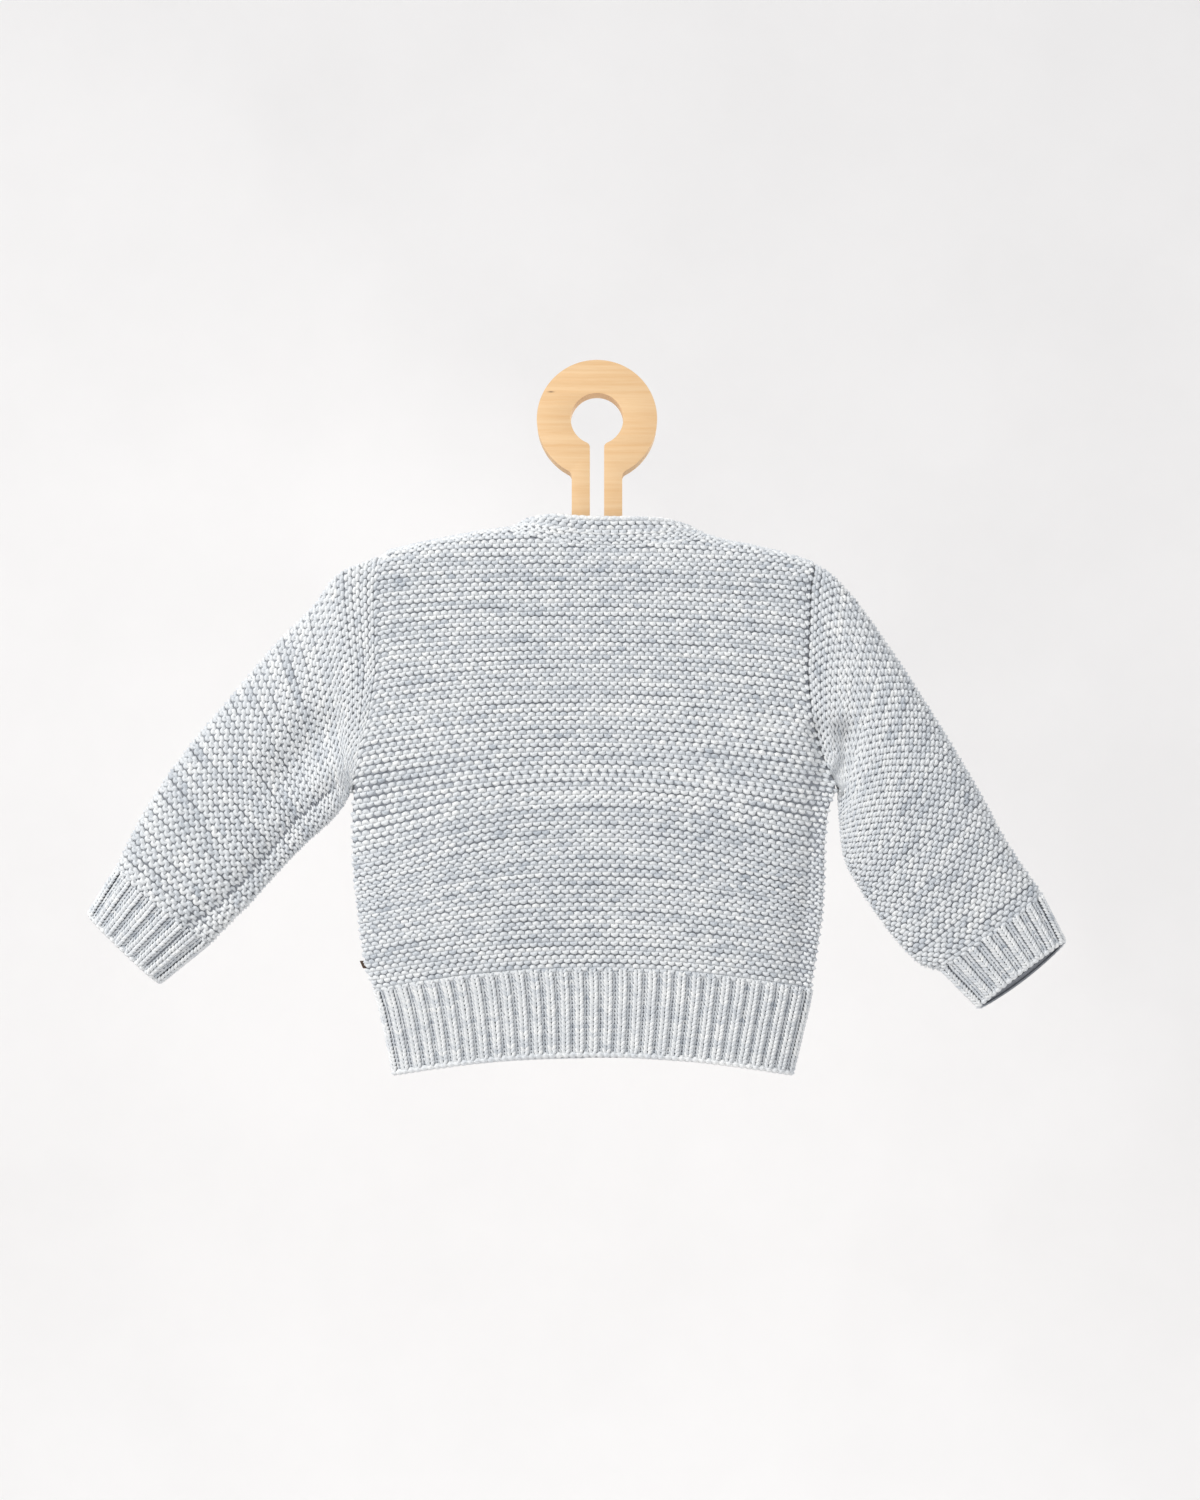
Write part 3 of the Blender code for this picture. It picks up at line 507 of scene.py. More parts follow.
@dataclass(frozen=True)
class SleeveForm:
    """A flattened sleeve between two edges. u goes round it from the upper edge, over the back."""

    body: BodyForm
    side: Side
    upper: Rows
    lower: Rows
    mouth: Rows
    depths: Rows = ((0.00, 0.0107), (0.15, 0.0109), (0.50, 0.0108), (0.85, 0.0102), (1.00, 0.0096))
    mouth_depth: float = 0.0092
    mouth_bow: tuple[float, float] = (0.0, 0.0)  # reach of the mouth's back and front edge past its corners
    power: float = 3.0
    cap_blend: float = 0.30
    bow_fade: float = 0.4
    least_depth: float = 0.0004
    underarm_crowding: float = 1.8

    def section(self, turn: Array, high: Array, low: Array, inset: Array) -> tuple[Array, Array]:
        """The x and z of a turn between an upper and a lower corner.

        Args:
            turn: Angles round the sleeve, 0 at the upper corner.
            high: Upper corners (x, height).
            low: Lower corners.
            inset: How far under the cloth's outside.

        Returns:
            The x of each, and the height of each.
        """
        half = (high - low) / 2
        length = np.linalg.norm(half, axis=-1)
        reach = (np.cos(turn) * (1 - inset / length))[..., None]
        at = (high + low) / 2 + half * reach
        return at[..., 0], at[..., 1]

    def fullness(self, turn: Array) -> Array:
        """The share of its middle's depth that the flattened tube has at a turn."""
        return np.sqrt(np.clip(1 - np.abs(np.cos(turn)) ** self.power, 0, None))

    def place(self, u: Array, v: Array, inset: Array = 0.0) -> Array:
        """Places of the sleeve.

        Args:
            u: Fractions of a turn round it.
            v: Fractions of its length, from the armhole to the cuff.
            inset: How far under the cloth's outside.

        Returns:
            One point for each pair.
        """
        u, v, inset = alike(u, v, inset)
        turn = 2 * pi * u
        high = np.stack(EdgeLine(self.upper).at(v), axis=-1)
        low = np.stack(EdgeLine(self.lower).at(v**self.underarm_crowding), axis=-1)
        x, z = self.section(turn, high, low, inset)
        (top_x, top_z), (foot_x, foot_z) = self.upper[0], self.lower[0]
        on_line = top_x + (foot_x - top_x) * (z - top_z) / (foot_z - top_z)
        bow = self.body.side_x(z, self.side) + self.side.value * self.body.armhole_gap - on_line
        x = x + bow * (1 - np.minimum(v / self.bow_fade, 1.0)) ** 2
        cap = self.body.armhole(z)
        cap = np.maximum(cap - inset * kept(cap, inset), self.least_depth)
        under_roof = self.body.roof(np.array(self.upper[0][0])) - z - inset
        cap = cap * rounded(under_roof, self.body.crest_radius - inset)
        tube = (Measure(self.depths).smooth(v) - inset) * self.fullness(turn)
        own = ease(v / self.cap_blend)
        return self.surface(x, z, turn, cap * (1 - own) + tube * own)

    def cuff_place(self, u: Array, v: Array, inset: Array = 0.0) -> Array:
        """Places of the cuff.

        Args:
            u: Fractions of a turn round it.
            v: Fractions of its length, from the sleeve to the mouth.
            inset: How far under the cloth's outside.

        Returns:
            One point for each pair.
        """
        u, v, inset = alike(u, v, inset)
        turn = 2 * pi * u
        starts = np.array([self.upper[-1], self.lower[-1]])
        ends = np.array(self.mouth)
        outward = (ends - starts).mean(axis=0)
        outward /= np.linalg.norm(outward)
        starts = starts + outward * self.body.seam_gap
        high = starts[0] + (ends[0] - starts[0]) * v[..., None]
        low = starts[1] + (ends[1] - starts[1]) * v[..., None]
        x, z = self.section(turn, high, low, inset)
        full = self.depths[-1][1] + (self.mouth_depth - self.depths[-1][1]) * v
        depth = (full - inset) * self.fullness(turn)
        bow = np.where(facing(turn) > 0, *self.mouth_bow) * np.abs(np.sin(turn)) * v * v
        return self.surface(x + bow * outward[0], z + bow * outward[1], turn, depth)

    def surface(self, x: Array, z: Array, turn: Array, depth: Array) -> Array:
        """Points at places x and z, in front of the middle plane or behind it as the turn says."""
        return np.stack([x, self.body.middle_y(z) - facing(turn) * depth, z], axis=-1)


def facing(turn: Array) -> Array:
    """1 on the half of a sleeve that looks back, -1 on the half that looks to the front, 0 on its edges."""
    across = np.sin(turn)
    return np.where(np.abs(across) < NOTHING, 0.0, np.sign(across))


@dataclass(frozen=True)
class NeckbandForm:
    """The strip picked up round the neck. u runs along it, v from the neck seam to its bound-off edge."""

    body: BodyForm
    back: PanelForm
    left: PanelForm
    right: PanelForm
    width: float = 0.0095
    gap: float = 0.0006
    lean: float = radians(63)
    front_stations: int = 24
    back_stations: int = 54
    crowding: float = 1.7

    def rim(self, x: Array, z: Array, panel: PanelForm, side: Optional[Side]) -> tuple[Array, Array]:
        """A panel's neck edge, on the outside of its wall and across from that on the inside.

        Args:
            x: Places along the edge.
            z: Their heights.
            panel: The panel whose edge it is.
            side: The side of a front, or None for the back.

        Returns:
            The points on the outside, and those on the inside.
        """
        low = np.minimum(z, self.body.roof(x) - self.body.wall)
        low_x = x if side is None else self.body.neckline(low, side)
        rise = panel.rise(x) + self.body.seam_gap / 2
        face = panel.face.value
        outer_y = self.body.middle_y(z) + face * (self.body.depth(x, z) + rise)
        inner_y = self.body.middle_y(low) + face * (self.body.depth(low_x, low, self.body.wall) + rise)
        return np.stack([x, outer_y, z], axis=-1), np.stack([low_x, inner_y, low], axis=-1)

    def stations(self) -> tuple[Array, Array, Array]:
        """The neck seam from the left front's edge, round the back, to the right front's edge.

        Returns:
            The outer rim, the inner rim, and how far the band leans at each station.
        """
        share = np.linspace(0, 1, self.front_stations + 1)[1:] ** self.crowding
        parts = []
        for side, panel in ((Side.LEFT, self.left), (Side.RIGHT, self.right)):
            neck_z = self.body.back_neck[0 if side is Side.LEFT else -1][1]
            z = neck_z + (self.body.front_neck_z - neck_z) * share
            lean = side.value * self.lean * np.sqrt(1 - share**2)
            parts.append((*self.rim(self.body.neckline(z, side), z, panel, side), lean))
        across = crowded(self.back_stations)
        left_x, right_x = self.body.back_neck[0][0], self.body.back_neck[-1][0]
        x = left_x + (right_x - left_x) * across
        middle = (*self.rim(x, self.body.back_top(x), self.back, None), self.lean * (2 * across - 1))
        left, right = parts
        return tuple(np.concatenate([left[k][::-1], middle[k], right[k]]) for k in range(3))

    def place(self, u: Array, v: Array, inset: Array = 0.0) -> Array:
        """Places of the neckband.

        Args:
            u: Fractions along it, from the left front's edge to the right's.
            v: Fractions of its width.
            inset: How far under its outside.

        Returns:
            One point for each pair.
        """
        u, v, inset = alike(u, v, inset)
        outer, inner, lean = self.stations()
        across = inner - outer
        through = across / np.linalg.norm(across, axis=1)[:, None]
        up = np.stack([-np.sin(lean), np.zeros_like(lean), np.cos(lean)], axis=-1)
        way = travelled(outer)
        start, end, through, up = (
            np.stack([np.interp(u * way[-1], way, line) for line in each.T], axis=-1)
            for each in (outer, inner, through, up)
        )
        share = inset / self.body.wall
        place = start + (end - start) * np.clip(share, 0, 1)[..., None]
        place = place + through * np.minimum(share, 0)[..., None] * self.body.wall
        return place + up * (self.gap + self.width * v)[..., None]


@dataclass(frozen=True)
class BandForm:
    """A band along a front edge. u runs down it, v from its left edge to its right."""

    body: BodyForm
    lift: float
    top_z: float = -0.1125

    def place(self, u: Array, v: Array, inset: Array = 0.0) -> Array:
        """Places of the band.

        Args:
            u: Fractions down it.
            v: Fractions across it.
            inset: How far under its outside.

        Returns:
            One point for each pair.
        """
        u, v, inset = alike(u, v, inset)
        x = self.body.band_left + (self.body.band_right - self.body.band_left) * v
        z = self.top_z + (self.body.arch(x, self.body.front_hem) - self.top_z) * u
        return np.stack([x, self.body.band_y(x, z, inset) + self.lift, z], axis=-1)


# ------------------------------------------------------------------------------------- cloth and yarn


@dataclass(frozen=True)
class Crease:
    """A fold or seam pressed into the cloth's back, along points (x, height)."""

    points: Rows
    depth: float
    width: float
    kept: float = 0.0036  # of the cloth's depth, which the crease doesn't press in

    def shift(self, places: Array, body: BodyForm) -> Array:
        """How far the crease moves each place along y.

        Args:
            places: Points on the cloth's outside.
            body: The body, which knows the middle plane.

        Returns:
            Steps in metres.
        """
        flat = places[..., (0, 2)]
        nearest = np.full(flat.shape[:-1], np.inf)
        for start, end in zip(self.points, self.points[1:]):
            start, step = np.array(start), np.array(end) - np.array(start)
            along = np.clip(((flat - start) @ step) / (step @ step), 0, 1)
            nearest = np.minimum(nearest, np.linalg.norm(flat - start - along[..., None] * step, axis=-1))
        room = body.middle_y(places[..., 2]) - places[..., 1] - self.kept
        return np.minimum(self.depth * np.exp(-((nearest / self.width) ** 2)), np.maximum(room, 0.0))


def pressed(places: Array, creases: tuple[Crease, ...], body: BodyForm) -> Array:
    """How far a cloth's creases together move each place along y.

    Args:
        places: Points on the cloth's outside.
        creases: Its creases.
        body: The body.

    Returns:
        Steps in metres.
    """
    moved = places.copy()
    for crease in creases:
        moved[..., 1] += crease.shift(moved, body)
    return moved[..., 1] - places[..., 1]


@dataclass
class ClothFace:
    """The outside of a piece of cloth, measured once on a fine grid: places and outward directions."""

    places: Array
    looks: Optional[Face] = None  # None where it looks away from the middle of its rows
    closed: bool = False
    creases: tuple[Crease, ...] = ()
    first: float = 0.0
    spare: Optional[Array] = None
    body: BodyForm = field(default_factory=BodyForm)

    @classmethod
    def of(cls, form: Shape, rows: int, columns: int, **more: object) -> "ClothFace":
        """Measures a form.

        Args:
            form: Gives the places.
            rows: Of the grid.
            columns: Of the grid.
            **more: The other fields.

        Returns:
            The face.
        """
        u, v = np.meshgrid(np.linspace(0, 1, columns), np.linspace(0, 1, rows))
        return cls(form(u, v), **more)

    def __post_init__(self) -> None:
        """Finds the outward directions and the spacing of the rows."""
        self.rows, self.columns = self.places.shape[:2]
        along, down = self.slopes()
        outward = np.cross(along, down)
        outward /= np.maximum(np.linalg.norm(outward, axis=-1), NOTHING)[..., None]
        if self.looks:
            guide = np.array([0.0, self.looks.value, 0.0])
        else:
            guide = self.places - self.places.mean(axis=1, keepdims=True)
        self.outward = outward * np.sign((outward * guide).sum())
        self.row_length = np.linalg.norm(down, axis=-1) * (self.rows - 1) / (1 - self.first)

    def slopes(self) -> tuple[Array, Array]:
        """The steps from place to place, along the rows and down them."""
        if self.closed:
            ring = np.concatenate([self.places[:, -2:-1], self.places, self.places[:, 1:2]], axis=1)
            along = (ring[:, 2:] - ring[:, :-2]) / 2
        else:
            along = np.gradient(self.places, axis=1)
        return along, np.gradient(self.places, axis=0)

    def read(self, values: Array, u: Array, v: Array) -> Array:
        """Values of the grid at fractions u and v, carried on a little past its edges.

        Args:
            values: One for each place of the grid.
            u: Fractions along the rows.
            v: Fractions down them.

        Returns:
            A value for each pair.
        """
        column = (u % 1.0 if self.closed else u) * (self.columns - 1)
        row = (v - self.first) / (1 - self.first) * (self.rows - 1)
        c = np.clip(np.floor(column).astype(int), 0, self.columns - 2)
        r = np.clip(np.floor(row).astype(int), 0, self.rows - 2)
        fc, fr = column - c, row - r
        if values.ndim == 3:
            fc, fr = fc[..., None], fr[..., None]
        upper = values[r, c] * (1 - fc) + values[r, c + 1] * fc
        lower = values[r + 1, c] * (1 - fc) + values[r + 1, c + 1] * fc
        return upper * (1 - fr) + lower * fr

    def raised(self, u: Array, v: Array, height: Array) -> tuple[Array, Array]:
        """Points at a height off the cloth.

        Args:
            u: Fractions along the rows.
            v: Fractions down them.
            height: Metres off the cloth, along its outward direction.

        Returns:
            The points, and the outward direction at each.
        """
        places, outward = self.read(self.places, u, v), self.read(self.outward, u, v)
        outward = outward / np.maximum(np.linalg.norm(outward, axis=-1), NOTHING)[..., None]
        points = places + outward * height[..., None]
        points[..., 1] += pressed(places, self.creases, self.body)
        return points, outward

    def row(self, v: float) -> tuple[Array, Array]:
        """Fractions u along a row, and the length of cloth up to each."""
        u = np.linspace(0, 1, self.columns)
        return u, travelled(self.read(self.places, u, np.full_like(u, v)))

    def stations(self, v: float, count: int, shares: Array) -> Array:
        """The u of places that stand evenly along a row.

        Args:
            v: The row's own fraction.
            count: How many stitches the row has.
            shares: Places in stitches from the row's start.

        Returns:
            The fraction u of each place.
        """
        u, way = self.row(v)
        share = shares / count
        turns = np.floor(share) if self.closed else 0.0
        over = np.minimum(share, 0) + np.maximum(share - 1, 0) if not self.closed else 0.0
        return np.interp((share - turns) * way[-1], way, u) + turns + over

    def length(self, v: float) -> float:
        """The length of a row of the cloth."""
        return float(self.row(v)[1][-1])


@dataclass
class YarnLines:
    """Lengths of yarn on their way to a mesh: the points they run through and how each looks."""

    points: list[Array] = field(default_factory=list)
    outward: list[Array] = field(default_factory=list)
    tone: list[Array] = field(default_factory=list)
    thickness: list[Array] = field(default_factory=list)
    edges: list[Array] = field(default_factory=list)
    count: int = 0

    def add(self, points: Array, outward: Array, tone: Array, thickness: Array, closed: bool = False) -> None:
        """Adds lines of yarn.

        Args:
            points: Lines by points by three.
            outward: The cloth's outward direction at each point.
            tone: 0 for the darkest wool to 1 for the lightest; on the ribs it also carries painted light and
                shade.
            thickness: Of the yarn, as a share of its usual one.
            closed: Whether each line ends where it starts.
        """
        lines, length = points.shape[:2]
        index = np.arange(lines * length).reshape(lines, length) + self.count
        pairs = np.stack([index[:, :-1], index[:, 1:]], axis=-1).reshape(-1, 2)
        if closed:
            pairs = np.concatenate([pairs, np.stack([index[:, -1], index[:, 0]], axis=-1)])
        self.edges.append(pairs)
        self.points.append(points.reshape(-1, 3))
        self.outward.append(outward.reshape(-1, 3))
        self.tone.append(np.broadcast_to(tone, points.shape[:2]).reshape(-1))
        self.thickness.append(np.broadcast_to(thickness, points.shape[:2]).reshape(-1))
        self.count += lines * length

    def mesh(self, name: str) -> Mesh:
        """The lines as a mesh of edges, each point with its attributes.

        Args:
            name: The mesh's name.

        Returns:
            The mesh.
        """
        edges = np.concatenate(self.edges)
        mesh = bpy.data.meshes.new(name)
        mesh.vertices.add(self.count)
        mesh.vertices.foreach_set("co", np.concatenate(self.points).astype(np.float32).ravel())
        mesh.edges.add(len(edges))
        mesh.edges.foreach_set("vertices", edges.astype(np.int32).ravel())
        outward = mesh.attributes.new(OUTWARD, "FLOAT_VECTOR", "POINT")
        outward.data.foreach_set("vector", np.concatenate(self.outward).astype(np.float32).ravel())
        for key, values in ((TONE, self.tone), (THICKNESS, self.thickness)):
            attribute = mesh.attributes.new(key, "FLOAT", "POINT")
            attribute.data.foreach_set("value", np.concatenate(values).astype(np.float32))
        mesh.update()
        return mesh


@dataclass(frozen=True)
class Melange:
    """The tone of heather wool along a row: long streaks, and some change from stitch to stitch."""

    run: float = 6.0  # stitches that a streak lasts
    middle: float = 0.54
    streaks: float = 0.40
    rows: float = 0.03
    stitches: float = 0.12

    def tones(self, random: np.random.Generator, count: int) -> Array:
        """A tone from 0 to 1 for each of a row's stitches.

        Args:
            random: The seeded source of the streaks.
            count: How many stitches.

        Returns:
            The tone of each.
        """
        knots = random.random(int(count / self.run) + 3)
        streaks = np.interp(np.arange(count) / self.run + random.random(), np.arange(len(knots)), knots)
        tone = self.middle + self.streaks * (streaks - 0.5) + random.normal(0.0, self.rows)
        return np.clip(tone + random.normal(0, self.stitches, count), 0, 1)


@dataclass(frozen=True)
class Loops:
    """One of the two lines of loops that make a garter ridge. Sizes are of a ridge of the usual pitch."""

    shift: float  # of a stitch, along the row
    middle: float  # of the line, from the ridge's own middle, towards the next ridge
    crest: float  # of a loop, further from the middle
    phases: tuple[float, ...]
    top: float = -0.00045  # height of the yarn's middle at a loop's crest
    dive: float = -0.00215  # where it passes under the loops beside it
    squareness: float = 0.75
    fall: float = 1.25

    def bend(self) -> tuple[Array, Array, Array]:
        """One stitch of the line.

        Returns:
            The phase of each of its points, its step across the ridge and its height.
        """
        phase = np.array(self.phases)
        arch = np.clip(np.cos(pi * phase), 0, 1) ** self.squareness
        return phase, self.middle + self.crest * arch, self.dive + (self.top - self.dive) * arch**self.fall


HEADS = Loops(0.0, 0.00010, -0.00140, (-0.5, -0.30, -0.10, 0.10, 0.30))
FEET = Loops(0.5, -0.00010, 0.00140, (-0.5, -0.30, -0.10, 0.10, 0.30))
PLAIN_HEADS = Loops(0.0, 0.00010, -0.00140, (-0.5, -0.27, 0.0, 0.27))
PLAIN_FEET = Loops(0.5, -0.00010, 0.00140, (-0.5, -0.27, 0.0, 0.27))


@dataclass(frozen=True)
class GarterStitch:
    """Garter stitch: ridges of interlocked loops, each ridge two knitted rows."""

    ridges: int
    stitches: Optional[int] = None
    gauge: float = STITCH
    pitch: float = RIDGE
    seed: int = 1
    uneven: float = 0.035
    reach_over: float = 0.10
    rim: float = 1.22  # ridges from the top edge, where the edge's own ridges lie
    least_pitch: float = 0.0001
    scales: tuple[float, float] = (0.45, 1.12)  # of the pitch, the flattest and the fullest ridge
    fullness: float = 0.8
    drift: float = 0.00014  # of a ridge, over many stitches
    drift_knots: int = 9
    wander: float = 0.00010  # of a ridge, from stitch to stitch
    rise: float = 0.00008

    def knit(self, cloth: ClothFace, loops: Loops, lines: YarnLines) -> None:
        """Lays one line of loops on every ridge.

        Args:
            cloth: The face that it lies on.
            loops: Which of the two lines.
            lines: Where the yarn is gathered.
        """
        for ridge in range(int(cloth.first * self.ridges), self.ridges):
            self.lay(cloth, loops, lines, ridge)

    def lay(self, cloth: ClothFace, loops: Loops, lines: YarnLines, ridge: int) -> None:
        """Lays one line of loops on one ridge.

        Args:
            cloth: The face that it lies on.
            loops: Which of the two lines.
            lines: Where the yarn is gathered.
            ridge: Which ridge, from the top down.
        """
        phase, across, height = loops.bend()
        random = np.random.default_rng(self.seed * SEED_STEP + SEED_START + ridge)
        v = (ridge + 0.5) / self.ridges
        count = self.stitches or round(cloth.length(v) / self.gauge)
        whole = count if cloth.closed else count - (1 if loops.shift else 0)
        start = np.arange(whole) + 0.5 + loops.shift + random.normal(0, self.uneven, whole)
        wide = 1 + random.normal(0, self.uneven, whole)
        shares = (start[:, None] + phase * wide[:, None]).ravel()
        if not cloth.closed:
            shares = (shares - count / 2) * (1 + 2 * self.reach_over / count) + count / 2
        u = cloth.stations(v, count, shares)
        rows = np.full_like(u, v)
        local = np.maximum(cloth.read(cloth.row_length, u, rows) / self.ridges, self.least_pitch)
        scale = np.clip(local / self.pitch, *self.scales)
        knots = np.linspace(0, whole, self.drift_knots)
        drift = np.interp(np.arange(whole), knots, random.normal(0, self.drift, self.drift_knots))
        wander = np.repeat(drift + random.normal(0, self.wander, whole), len(phase))
        v_at = rows + (np.tile(across, whole) * scale + wander) / (local * self.ridges)
        rise = np.repeat(random.normal(0, self.rise, whole), len(phase))
        points, outward = cloth.raised(u, v_at, np.tile(height, whole) * np.sqrt(scale) + rise)
        tone = np.repeat(Melange().tones(random, whole), len(phase))
        thick = scale**self.fullness * np.repeat(1 + random.normal(0, self.uneven, whole), len(phase))
        if cloth.spare is None:
            lines.add(points[None], outward[None], tone[None], thick[None], cloth.closed)
            return
        free = cloth.read(cloth.spare, u, rows).reshape(whole, -1).min(axis=1) > self.rim * self.pitch
        for run in np.split(np.arange(whole), np.flatnonzero(np.diff(free.astype(int))) + 1):
            if free[run[0]] and len(run) > 1:
                part = slice(run[0] * len(phase), (run[-1] + 1) * len(phase))
                lines.add(points[None, part], outward[None, part], tone[None, part], thick[None, part])


@dataclass(frozen=True)
class RibStitch:
    """One by one rib: raised columns of Vs, and purl columns sunk between them, with painted light on the
    raised columns and painted shade on the sunk ones.
    """

    ribs: int
    rows: int
    leg_near: float = 0.00030
    leg_far: float = 0.00188
    leg_rows: tuple[float, float] = (0.66, -0.78)
    sunk_near: float = 0.00035
    sunk_far: float = 0.00160
    raised: tuple[float, float, float] = (-0.00050, 0.00035, -0.00020)
    sunk: tuple[float, float, float] = (-0.00135, -0.00102, -0.00135)
    # painted light on the raised columns and painted shade on the sunk ones, added to the wool's tone
    raised_painted_light: float = 0.12
    sunk_painted_shade: float = -0.10
    raised_thickness: float = 1.16
    sunk_thickness: float = 0.85
    bulge: float = 0.00012  # of a leg's middle, away from the column's
    taper: tuple[float, float, float] = (0.72, 0.92, 0.78)
    streak: float = 2.5
    sway: float = 0.012
    rise: float = 0.00006
    above: float = 0.03  # how far the first row reaches past the edge
    margin: float = 0.03
    side_share: float = 0.34
    seed: int = 1

    def knit(self, cloth: ClothFace, lines: YarnLines) -> None:
        """Lays every leg of the rib's stitches.

        Args:
            cloth: The face that it lies on.
            lines: Where the yarn is gathered.
        """
        random = np.random.default_rng(self.seed)
        steps = (1 - self.margin) / self.rows
        for row in range(-1, self.rows):
            v = (row + 0.5) * steps
            for sunk in (False, True):
                count = self.ribs if cloth.closed else self.ribs - (1 if sunk else 0)
                centre = np.arange(count) + (1.0 if sunk else 0.5)
                if not cloth.closed:
                    spread = (self.ribs - 2 * self.side_share) / (self.ribs - 1)
                    centre = (centre - self.ribs / 2) * spread + self.ribs / 2
                near, far = (self.sunk_near, self.sunk_far) if sunk else (self.leg_near, self.leg_far)
                heights = np.array(self.sunk if sunk else self.raised)
                pitch = cloth.length(v) / self.ribs
                tone = Melange(self.streak).tones(random, count)
                # painted shade on the sunk columns, painted light on the raised ones
                tone = np.clip(tone + (self.sunk_painted_shade if sunk else self.raised_painted_light), 0, 1)[:, None]
                thick = np.array(self.taper) * (self.sunk_thickness if sunk else self.raised_thickness)
                for leg in (-1, 1):
                    reach = np.array([near, (near + far) / 2 + self.bulge, far]) * leg / pitch
                    drop = np.linspace(*self.leg_rows, 3) * steps * (-1 if sunk else 1)
                    sway = random.normal(0, self.sway, count)
                    u = cloth.stations(v, self.ribs, (centre + sway)[:, None] + reach)
                    v_at = np.clip(v + drop, -self.above, 1) + np.zeros((count, 1))
                    lift = heights + random.normal(0, self.rise, count)[:, None]
                    points, outward = cloth.raised(u, v_at, lift)
                    lines.add(points, outward, tone, thick)


@dataclass(frozen=True)
class EdgeChain:
    """The thick, lumpy edge where a piece was cast on or bound off."""

    at: float
    lump: float = 0.0038
    height: float = -0.0006
    swing: float = 0.00050
    thickness: float = 1.70
    seed: int = 5
    taper: tuple[float, float] = (0.82, 0.22)  # the share between two lumps, and what a lump adds
    paler: float = 0.15

    def lay(self, cloth: ClothFace, lines: YarnLines) -> None:
        """Lays the chain along one edge of the cloth.

        Args:
            cloth: The face whose edge it is.
            lines: Where the yarn is gathered.
        """
        random = np.random.default_rng(self.seed)
        count = round(cloth.length(self.at) / self.lump)
        shares = np.arange(4 * count + (not cloth.closed)) / 4
        u = cloth.stations(self.at, count, shares)
        bump = np.abs(np.sin(pi * shares))
        points, outward = cloth.raised(u, np.full_like(u, self.at), self.height + self.swing * (2 * bump - 1))
        tone = np.interp(shares, np.arange(count) + 0.5, Melange().tones(random, count))
        tone = np.clip(tone + self.paler, 0, 1)
        thick = self.thickness * (self.taper[0] + self.taper[1] * bump)
        lines.add(points[None], outward[None], tone[None], thick[None], cloth.closed)


# ------------------------------------------------------------------------------------------- finishes


def plug(node: bpy.types.Node, inputs: dict) -> None:
    """Sets or links inputs of a node.

    Args:
        node: The node.
        inputs: A socket or a value for each input, by name or by number.
    """
    for key, value in inputs.items():
        if isinstance(value, NodeSocket):
            node.id_data.links.new(value, node.inputs[key])
        else:
            node.inputs[key].default_value = value


def add_node(tree: bpy.types.NodeTree, kind: str, inputs: dict, **settings: object) -> bpy.types.Node:
    """Adds a node to a tree.

    Args:
        tree: The tree.
        kind: Blender's name for the node.
        inputs: A socket or a value for each input, by name or by number.
        **settings: Its properties.

    Returns:
        The node.
    """
    node = tree.nodes.new(kind)
    for key, value in settings.items():
        setattr(node, key, value)
    plug(node, inputs)
    return node


@dataclass(frozen=True)
class Shading:
    """Small helpers that join shader nodes."""

    material: Material

    @classmethod
    def fresh(cls, name: str) -> "Shading":
        """A new material with a Principled shader.

        Args:
            name: The material's name.

        Returns:
            The helpers for it.
        """
        made = bpy.data.materials.new(name)
        made.use_nodes = True
        return cls(made)

    def node(self, kind: str, inputs: Optional[dict] = None, **settings: object) -> bpy.types.Node:
        """Adds a node, with its inputs and properties."""
        return add_node(self.material.node_tree, kind, inputs or {}, **settings)

    def place(self) -> NodeSocket:
        """The place on the object."""
        return self.node("ShaderNodeTexCoord").outputs["Object"]

    def mapped(self, vector: NodeSocket, **mapping: tuple[float, ...]) -> NodeSocket:
        """A vector turned by a Rotation or stretched by a Scale."""
        return self.node("ShaderNodeMapping", {"Vector": vector, **mapping}).outputs["Vector"]

    def look(self, **inputs: object) -> None:
        """Sets or links inputs of the Principled shader, by name with _ for a space.

        Args:
            **inputs: A socket or a value for each.
        """
        shader = self.material.node_tree.nodes["Principled BSDF"]
        plug(shader, {key.replace("_", " "): value for key, value in inputs.items()})

    def math(self, operation: str, first: object, second: object = 0.0) -> NodeSocket:
        """The result of a sum on two sockets or numbers."""
        return self.node("ShaderNodeMath", {0: first, 1: second}, operation=operation).outputs["Value"]

    def blend(self, first: object, share: object, second: object, other: object) -> NodeSocket:
        """Two values, each times its share, added up."""
        return self.math("ADD", self.math("MULTIPLY", first, share), self.math("MULTIPLY", second, other))

    def wave(self, value: NodeSocket, turns: float) -> NodeSocket:
        """The sine of a value times a number."""
        return self.math("SINE", self.math("MULTIPLY", value, turns))

    def noise(self, vector: NodeSocket, scale: float, detail: float = 3.0) -> NodeSocket:
        """Noise on a vector."""
        inputs = {"Vector": vector, "Scale": scale, "Detail": detail, "Roughness": 0.6}
        return self.node("ShaderNodeTexNoise", inputs).outputs["Fac"]

    def ramp(self, factor: NodeSocket, *stops: tuple[float, Colour]) -> NodeSocket:
        """Colours along a factor.

        Args:
            factor: From 0 to 1.
            *stops: Positions and their linear colours.

        Returns:
            The colour's socket.
        """
        node = self.node("ShaderNodeValToRGB", {"Fac": factor})
        elements = node.color_ramp.elements
        while len(elements) < len(stops):
            elements.new(0.5)
        for element, (position, colour) in zip(elements, stops):
            element.position = position
            element.color = (*colour, 1)
        return node.outputs["Color"]

    def mix(self, factor: object, first: object, second: Colour) -> NodeSocket:
        """A colour's socket mixed with a plain colour."""
        return self.node("ShaderNodeMix", {0: factor, 6: first, 7: (*second, 1)}, data_type="RGBA").outputs[2]

    def bump(self, height: NodeSocket, distance: float, strength: float = 1.0) -> None:
        """Gives the shader relief."""
        inputs = {"Height": height, "Distance": distance, "Strength": strength}
        self.look(Normal=self.node("ShaderNodeBump", inputs).outputs["Normal"])


